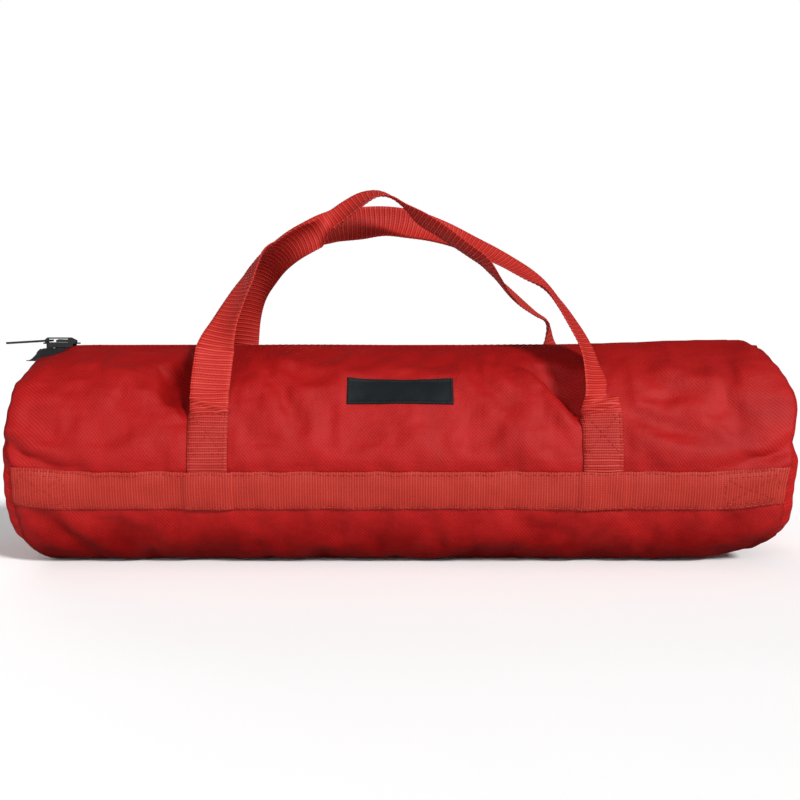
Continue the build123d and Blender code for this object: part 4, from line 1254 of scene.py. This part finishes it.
# the top stops are crimped on to the tapes' inner edges, where the tapes start to droop
t_lo, t_hi = (v * 1000 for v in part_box("zipper_top_stops"))
verts, faces = [], []
for side in (-1, 1):
    x0 = (t_lo.x + t_hi.x) / 2
    for word_, half_x, half_y, half_z in (("clamp", min(2.6, (t_hi.x - t_lo.x) / 2), 1.75, 1.15),):
        base = len(verts)
        sections, ring = np.linspace(-1, 1, 9), 16
        for f in sections:
            x = x0 + f * half_x
            tail = float(smooth(-HALF - 1.0, -HALF - 14.0, x))
            zc = ZC + math.sqrt((R - 1.05) ** 2 - 9.0) - 9.0 * tail - 0.25
            yc = side * 3.0 * (1 - 0.42 * float(smooth(-HALF + 1, -HALF - 9.0, x)))
            k_end = (1 - abs(f) ** 6) ** 0.5 * 0.55 + 0.45 if abs(f) < 1 else 0.45
            for q in range(ring):
                ang = 2 * math.pi * q / ring
                cy, cz = math.cos(ang), math.sin(ang)
                verts.append((x, yc + half_y * k_end * math.copysign(abs(cy) ** 0.7, cy), zc + half_z * k_end * math.copysign(abs(cz) ** 0.7, cz)))
        faces += [tuple(q) for q in grid_faces(len(sections), ring, base, False, True)]
        faces += [tuple(base + q for q in range(ring))[::-1], tuple(base + (len(sections) - 1) * ring + q for q in range(ring))]
done(fix_normals(add_mesh("top_stop_clamps", np.array(verts), faces, METAL)), "bag", "zipper_metal", "zipper_top_stops")

# the slider's lock cover fills the bail behind the pull tab's eye
b_lo, b_hi = (v * 1000 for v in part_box("slider_bail"))
z_low = b_lo.z + 0.3
verts, faces = [], []
stations_x = np.linspace(b_lo.x + 7.6, b_hi.x - 1.4, 15)
ring = 14
for i, x in enumerate(stations_x):
    f = i / (len(stations_x) - 1)
    tall = (b_hi.z - 1.25 - z_low) * (1 - 0.30 * f ** 2) * (0.55 + 0.45 * min(1, 6 * f + 0.3)) * (1 - 0.5 * max(0, f - 0.85) / 0.15)
    wide = 1.35 * (1 - 0.25 * f)
    for q in range(ring):
        ang = 2 * math.pi * q / ring
        cy, cz = math.cos(ang), math.sin(ang)
        verts.append((x, wide * math.copysign(abs(cy) ** 0.6, cy), z_low + tall / 2 + tall / 2 * math.copysign(abs(cz) ** 0.6, cz)))
n_st = len(stations_x)
faces = [tuple(q) for q in grid_faces(n_st, ring, 0, False, True)]
faces += [tuple(range(ring))[::-1], tuple((n_st - 1) * ring + q for q in range(ring))]
done(fix_normals(add_mesh("slider_lock_cover", np.array(verts), faces, METAL)), "slider", "zipper_metal")


def own_material(node, material):
    ob = next(o for o in bpy.data.objects if o.name == node or o.name.endswith("/" + node)) if node not in bpy.data.objects else bpy.data.objects[node]
    ob.data.materials.clear()
    ob.data.materials.append(material)
    return ob


for node in ("slider_body", "slider_bail", "pull_tab", "zipper_bottom_stop"):
    own_material(node, METAL)
own_material("ground_pegs", STEEL)

# ----------------------------------------------------------- packed tunnel
r_lo, r_hi = (v * 1000 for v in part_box("tunnel_sleeve"))
rx = np.linspace(r_lo.x, r_hi.x, 260)
ra = np.linspace(0, 2 * math.pi, 121)[:-1]
tx, ta = np.meshgrid(rx, ra, indexing="ij")
rc = (r_lo.z + r_hi.z) / 2
edge = np.minimum(tx - r_lo.x, r_hi.x - tx)
pleat = np.abs(np.sin(math.pi * (tx - r_lo.x) / 26.0 + 0.35 * np.sin(3 * ta)))
rad = 58.2 - 3.0 * pleat ** 6 - 1.6 * (0.5 + 0.5 * np.sin(ta * 17 + tx * 0.05)) - 1.2 * (value_noise(tx, ta * 60, 30, 91) + 1)
rad = rad - 12 * smooth(12, 0, edge) ** 2
v = np.stack([tx, rad * np.cos(ta), rc + rad * np.sin(ta)], -1)
n, m = v.shape[:2]
vv = np.concatenate([v.reshape(-1, 3), [[r_lo.x + 3, 0, rc], [r_hi.x - 3, 0, rc]]])
f = list(grid_faces(n, m, 0, False, True))
for j in range(m):
    f.append((j, (j + 1) % m, n * m))
    f.append(((n - 1) * m + (j + 1) % m, (n - 1) * m + j, n * m + 1))
roll = fix_normals(add_mesh("tunnel_roll", vv, f, LINING, np.concatenate([np.stack([tx, ta * 60], -1).reshape(-1, 2), [[0, 0], [1, 0]]])))
done(roll, "bag", "tunnel_cloth", "tunnel_sleeve")

# spring-steel hoops, wound tight round the sleeve
hoop_lo, hoop_hi = (v * 1000 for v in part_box("tunnel_hoops"))
verts, faces = [], []
for i in range(9):
    x0 = hoop_lo.x + 1.2 + (hoop_hi.x - hoop_lo.x - 2.4) * i / 8
    tight = 59.4 - 3.0 * (i in (0, 8))
    base = len(verts)
    for a in range(96):
        ang = 2 * math.pi * a / 96
        rr = tight + 0.35 * math.sin(5 * ang + i)
        for q in range(8):
            w = 2 * math.pi * q / 8
            verts.append((x0 + 1.2 * math.cos(w) + 0.8 * math.sin(2 * ang + i), (rr + 1.2 * math.sin(w)) * math.cos(ang), ROLL_Z + (rr + 1.2 * math.sin(w)) * math.sin(ang)))
    for a in range(96):
        for q in range(8):
            a2, q2 = (a + 1) % 96, (q + 1) % 8
            faces.append((base + a * 8 + q, base + a2 * 8 + q, base + a2 * 8 + q2, base + a * 8 + q2))
done(fix_normals(add_mesh("hoop_wires", np.array(verts), faces, STEEL)), "bag", "hoop_steel", "tunnel_hoops")

for word, x0 in (("left", -134.0), ("right", 134.0)):
    ang = np.linspace(0, 2 * math.pi, 181)[:-1]
    across = np.linspace(-12.5, 12.5, 15)
    ta_, tw = np.meshgrid(ang, across, indexing="ij")
    grids = []
    for lift_ in (TIE_R - 1.2, TIE_R - 2.4):
        rr = lift_ + 0.10 * np.sin(2 * math.pi * ta_ * TIE_R / 1.9) + 0.2 * np.sin(3 * ta_ + x0)
        grids.append(np.stack([x0 + tw + 0.6 * np.sin(2 * ta_), rr * np.cos(ta_), ROLL_Z + rr * np.sin(ta_)], -1))
    n_, m_ = grids[0].shape[:2]
    v = np.concatenate([g_.reshape(-1, 3) for g_ in grids])
    f = []
    for a in range(n_):
        a2 = (a + 1) % n_
        for b in range(m_ - 1):
            f.append((a * m_ + b, a2 * m_ + b, a2 * m_ + b + 1, a * m_ + b + 1))
            f.append((n_ * m_ + a * m_ + b + 1, n_ * m_ + a2 * m_ + b + 1, n_ * m_ + a2 * m_ + b, n_ * m_ + a * m_ + b))
        f.append((a * m_, n_ * m_ + a * m_, n_ * m_ + a2 * m_, a2 * m_))
        f.append((a * m_ + m_ - 1, a2 * m_ + m_ - 1, n_ * m_ + a2 * m_ + m_ - 1, n_ * m_ + a * m_ + m_ - 1))
    c = np.stack([ta_ * TIE_R, tw], -1).reshape(-1, 2)
    tie = fix_normals(add_mesh("tie_webbing_" + word, v, f, BINDING, np.concatenate([c, c])))
    done(tie, "bag", "tie_webbing", "tie_strap_" + word)

# ------------------------------------------------------- floor and lighting
floor_me = bpy.data.meshes.new("floor")
floor_me.from_pydata([(-6, -3, 0), (6, -3, 0), (6, 6, 0), (-6, 6, 0)], [], [(0, 1, 2, 3)])
floor = bpy.data.objects.new("floor", floor_me)
scene.collection.objects.link(floor)
fm = Nodes("pale floor")
pos = fm.position()
fm.set(Base_Color=fm.ramp(fm.noise(pos, 3.0), [(0.3, (0.975, 0.975, 0.975, 1)), (0.7, (0.99, 0.99, 0.99, 1))]), Roughness=0.9, Specular_IOR_Level=0.1)
floor_me.materials.append(fm.m)
floor.visible_glossy = False

world = bpy.data.worlds.new("studio")
world.use_nodes = True
wt = world.node_tree
wt.nodes["Background"].inputs[0].default_value = (1, 1, 1, 1)
path = wt.nodes.new("ShaderNodeLightPath")
level = wt.nodes.new("ShaderNodeMapRange")
wt.links.new(path.outputs["Is Camera Ray"], level.inputs["Value"])
level.inputs["To Min"].default_value = 0.27
level.inputs["To Max"].default_value = 1.0
dim = wt.nodes.new("ShaderNodeMath")
dim.operation = "MULTIPLY_ADD"
wt.links.new(path.outputs["Is Glossy Ray"], dim.inputs[0])
dim.inputs[1].default_value = -0.20
wt.links.new(level.outputs["Result"], dim.inputs[2])
wt.links.new(dim.outputs[0], wt.nodes["Background"].inputs[1])
scene.world = world
scene.view_settings.view_transform = "Standard"

for name, power, spread, towards in (("key", 3.7, 12, (0.60, -0.78, 0.58)), ("fill", 1.05, 40, (-0.40, -0.92, 0.32)),
                                    ("rear", 1.5, 40, (-0.35, 0.92, 0.22))):
    sun = bpy.data.lights.new(name, "SUN")
    sun.energy = power
    sun.angle = math.radians(spread)
    sun_ob = bpy.data.objects.new(name, sun)
    sun_ob.rotation_euler = (-Vector(towards)).to_track_quat("-Z", "Y").to_euler()
    scene.collection.objects.link(sun_ob)
    sun_ob.visible_glossy = name != "rear"

# ------------------------------------------------------------------ finish
bpy.context.view_layer.update()
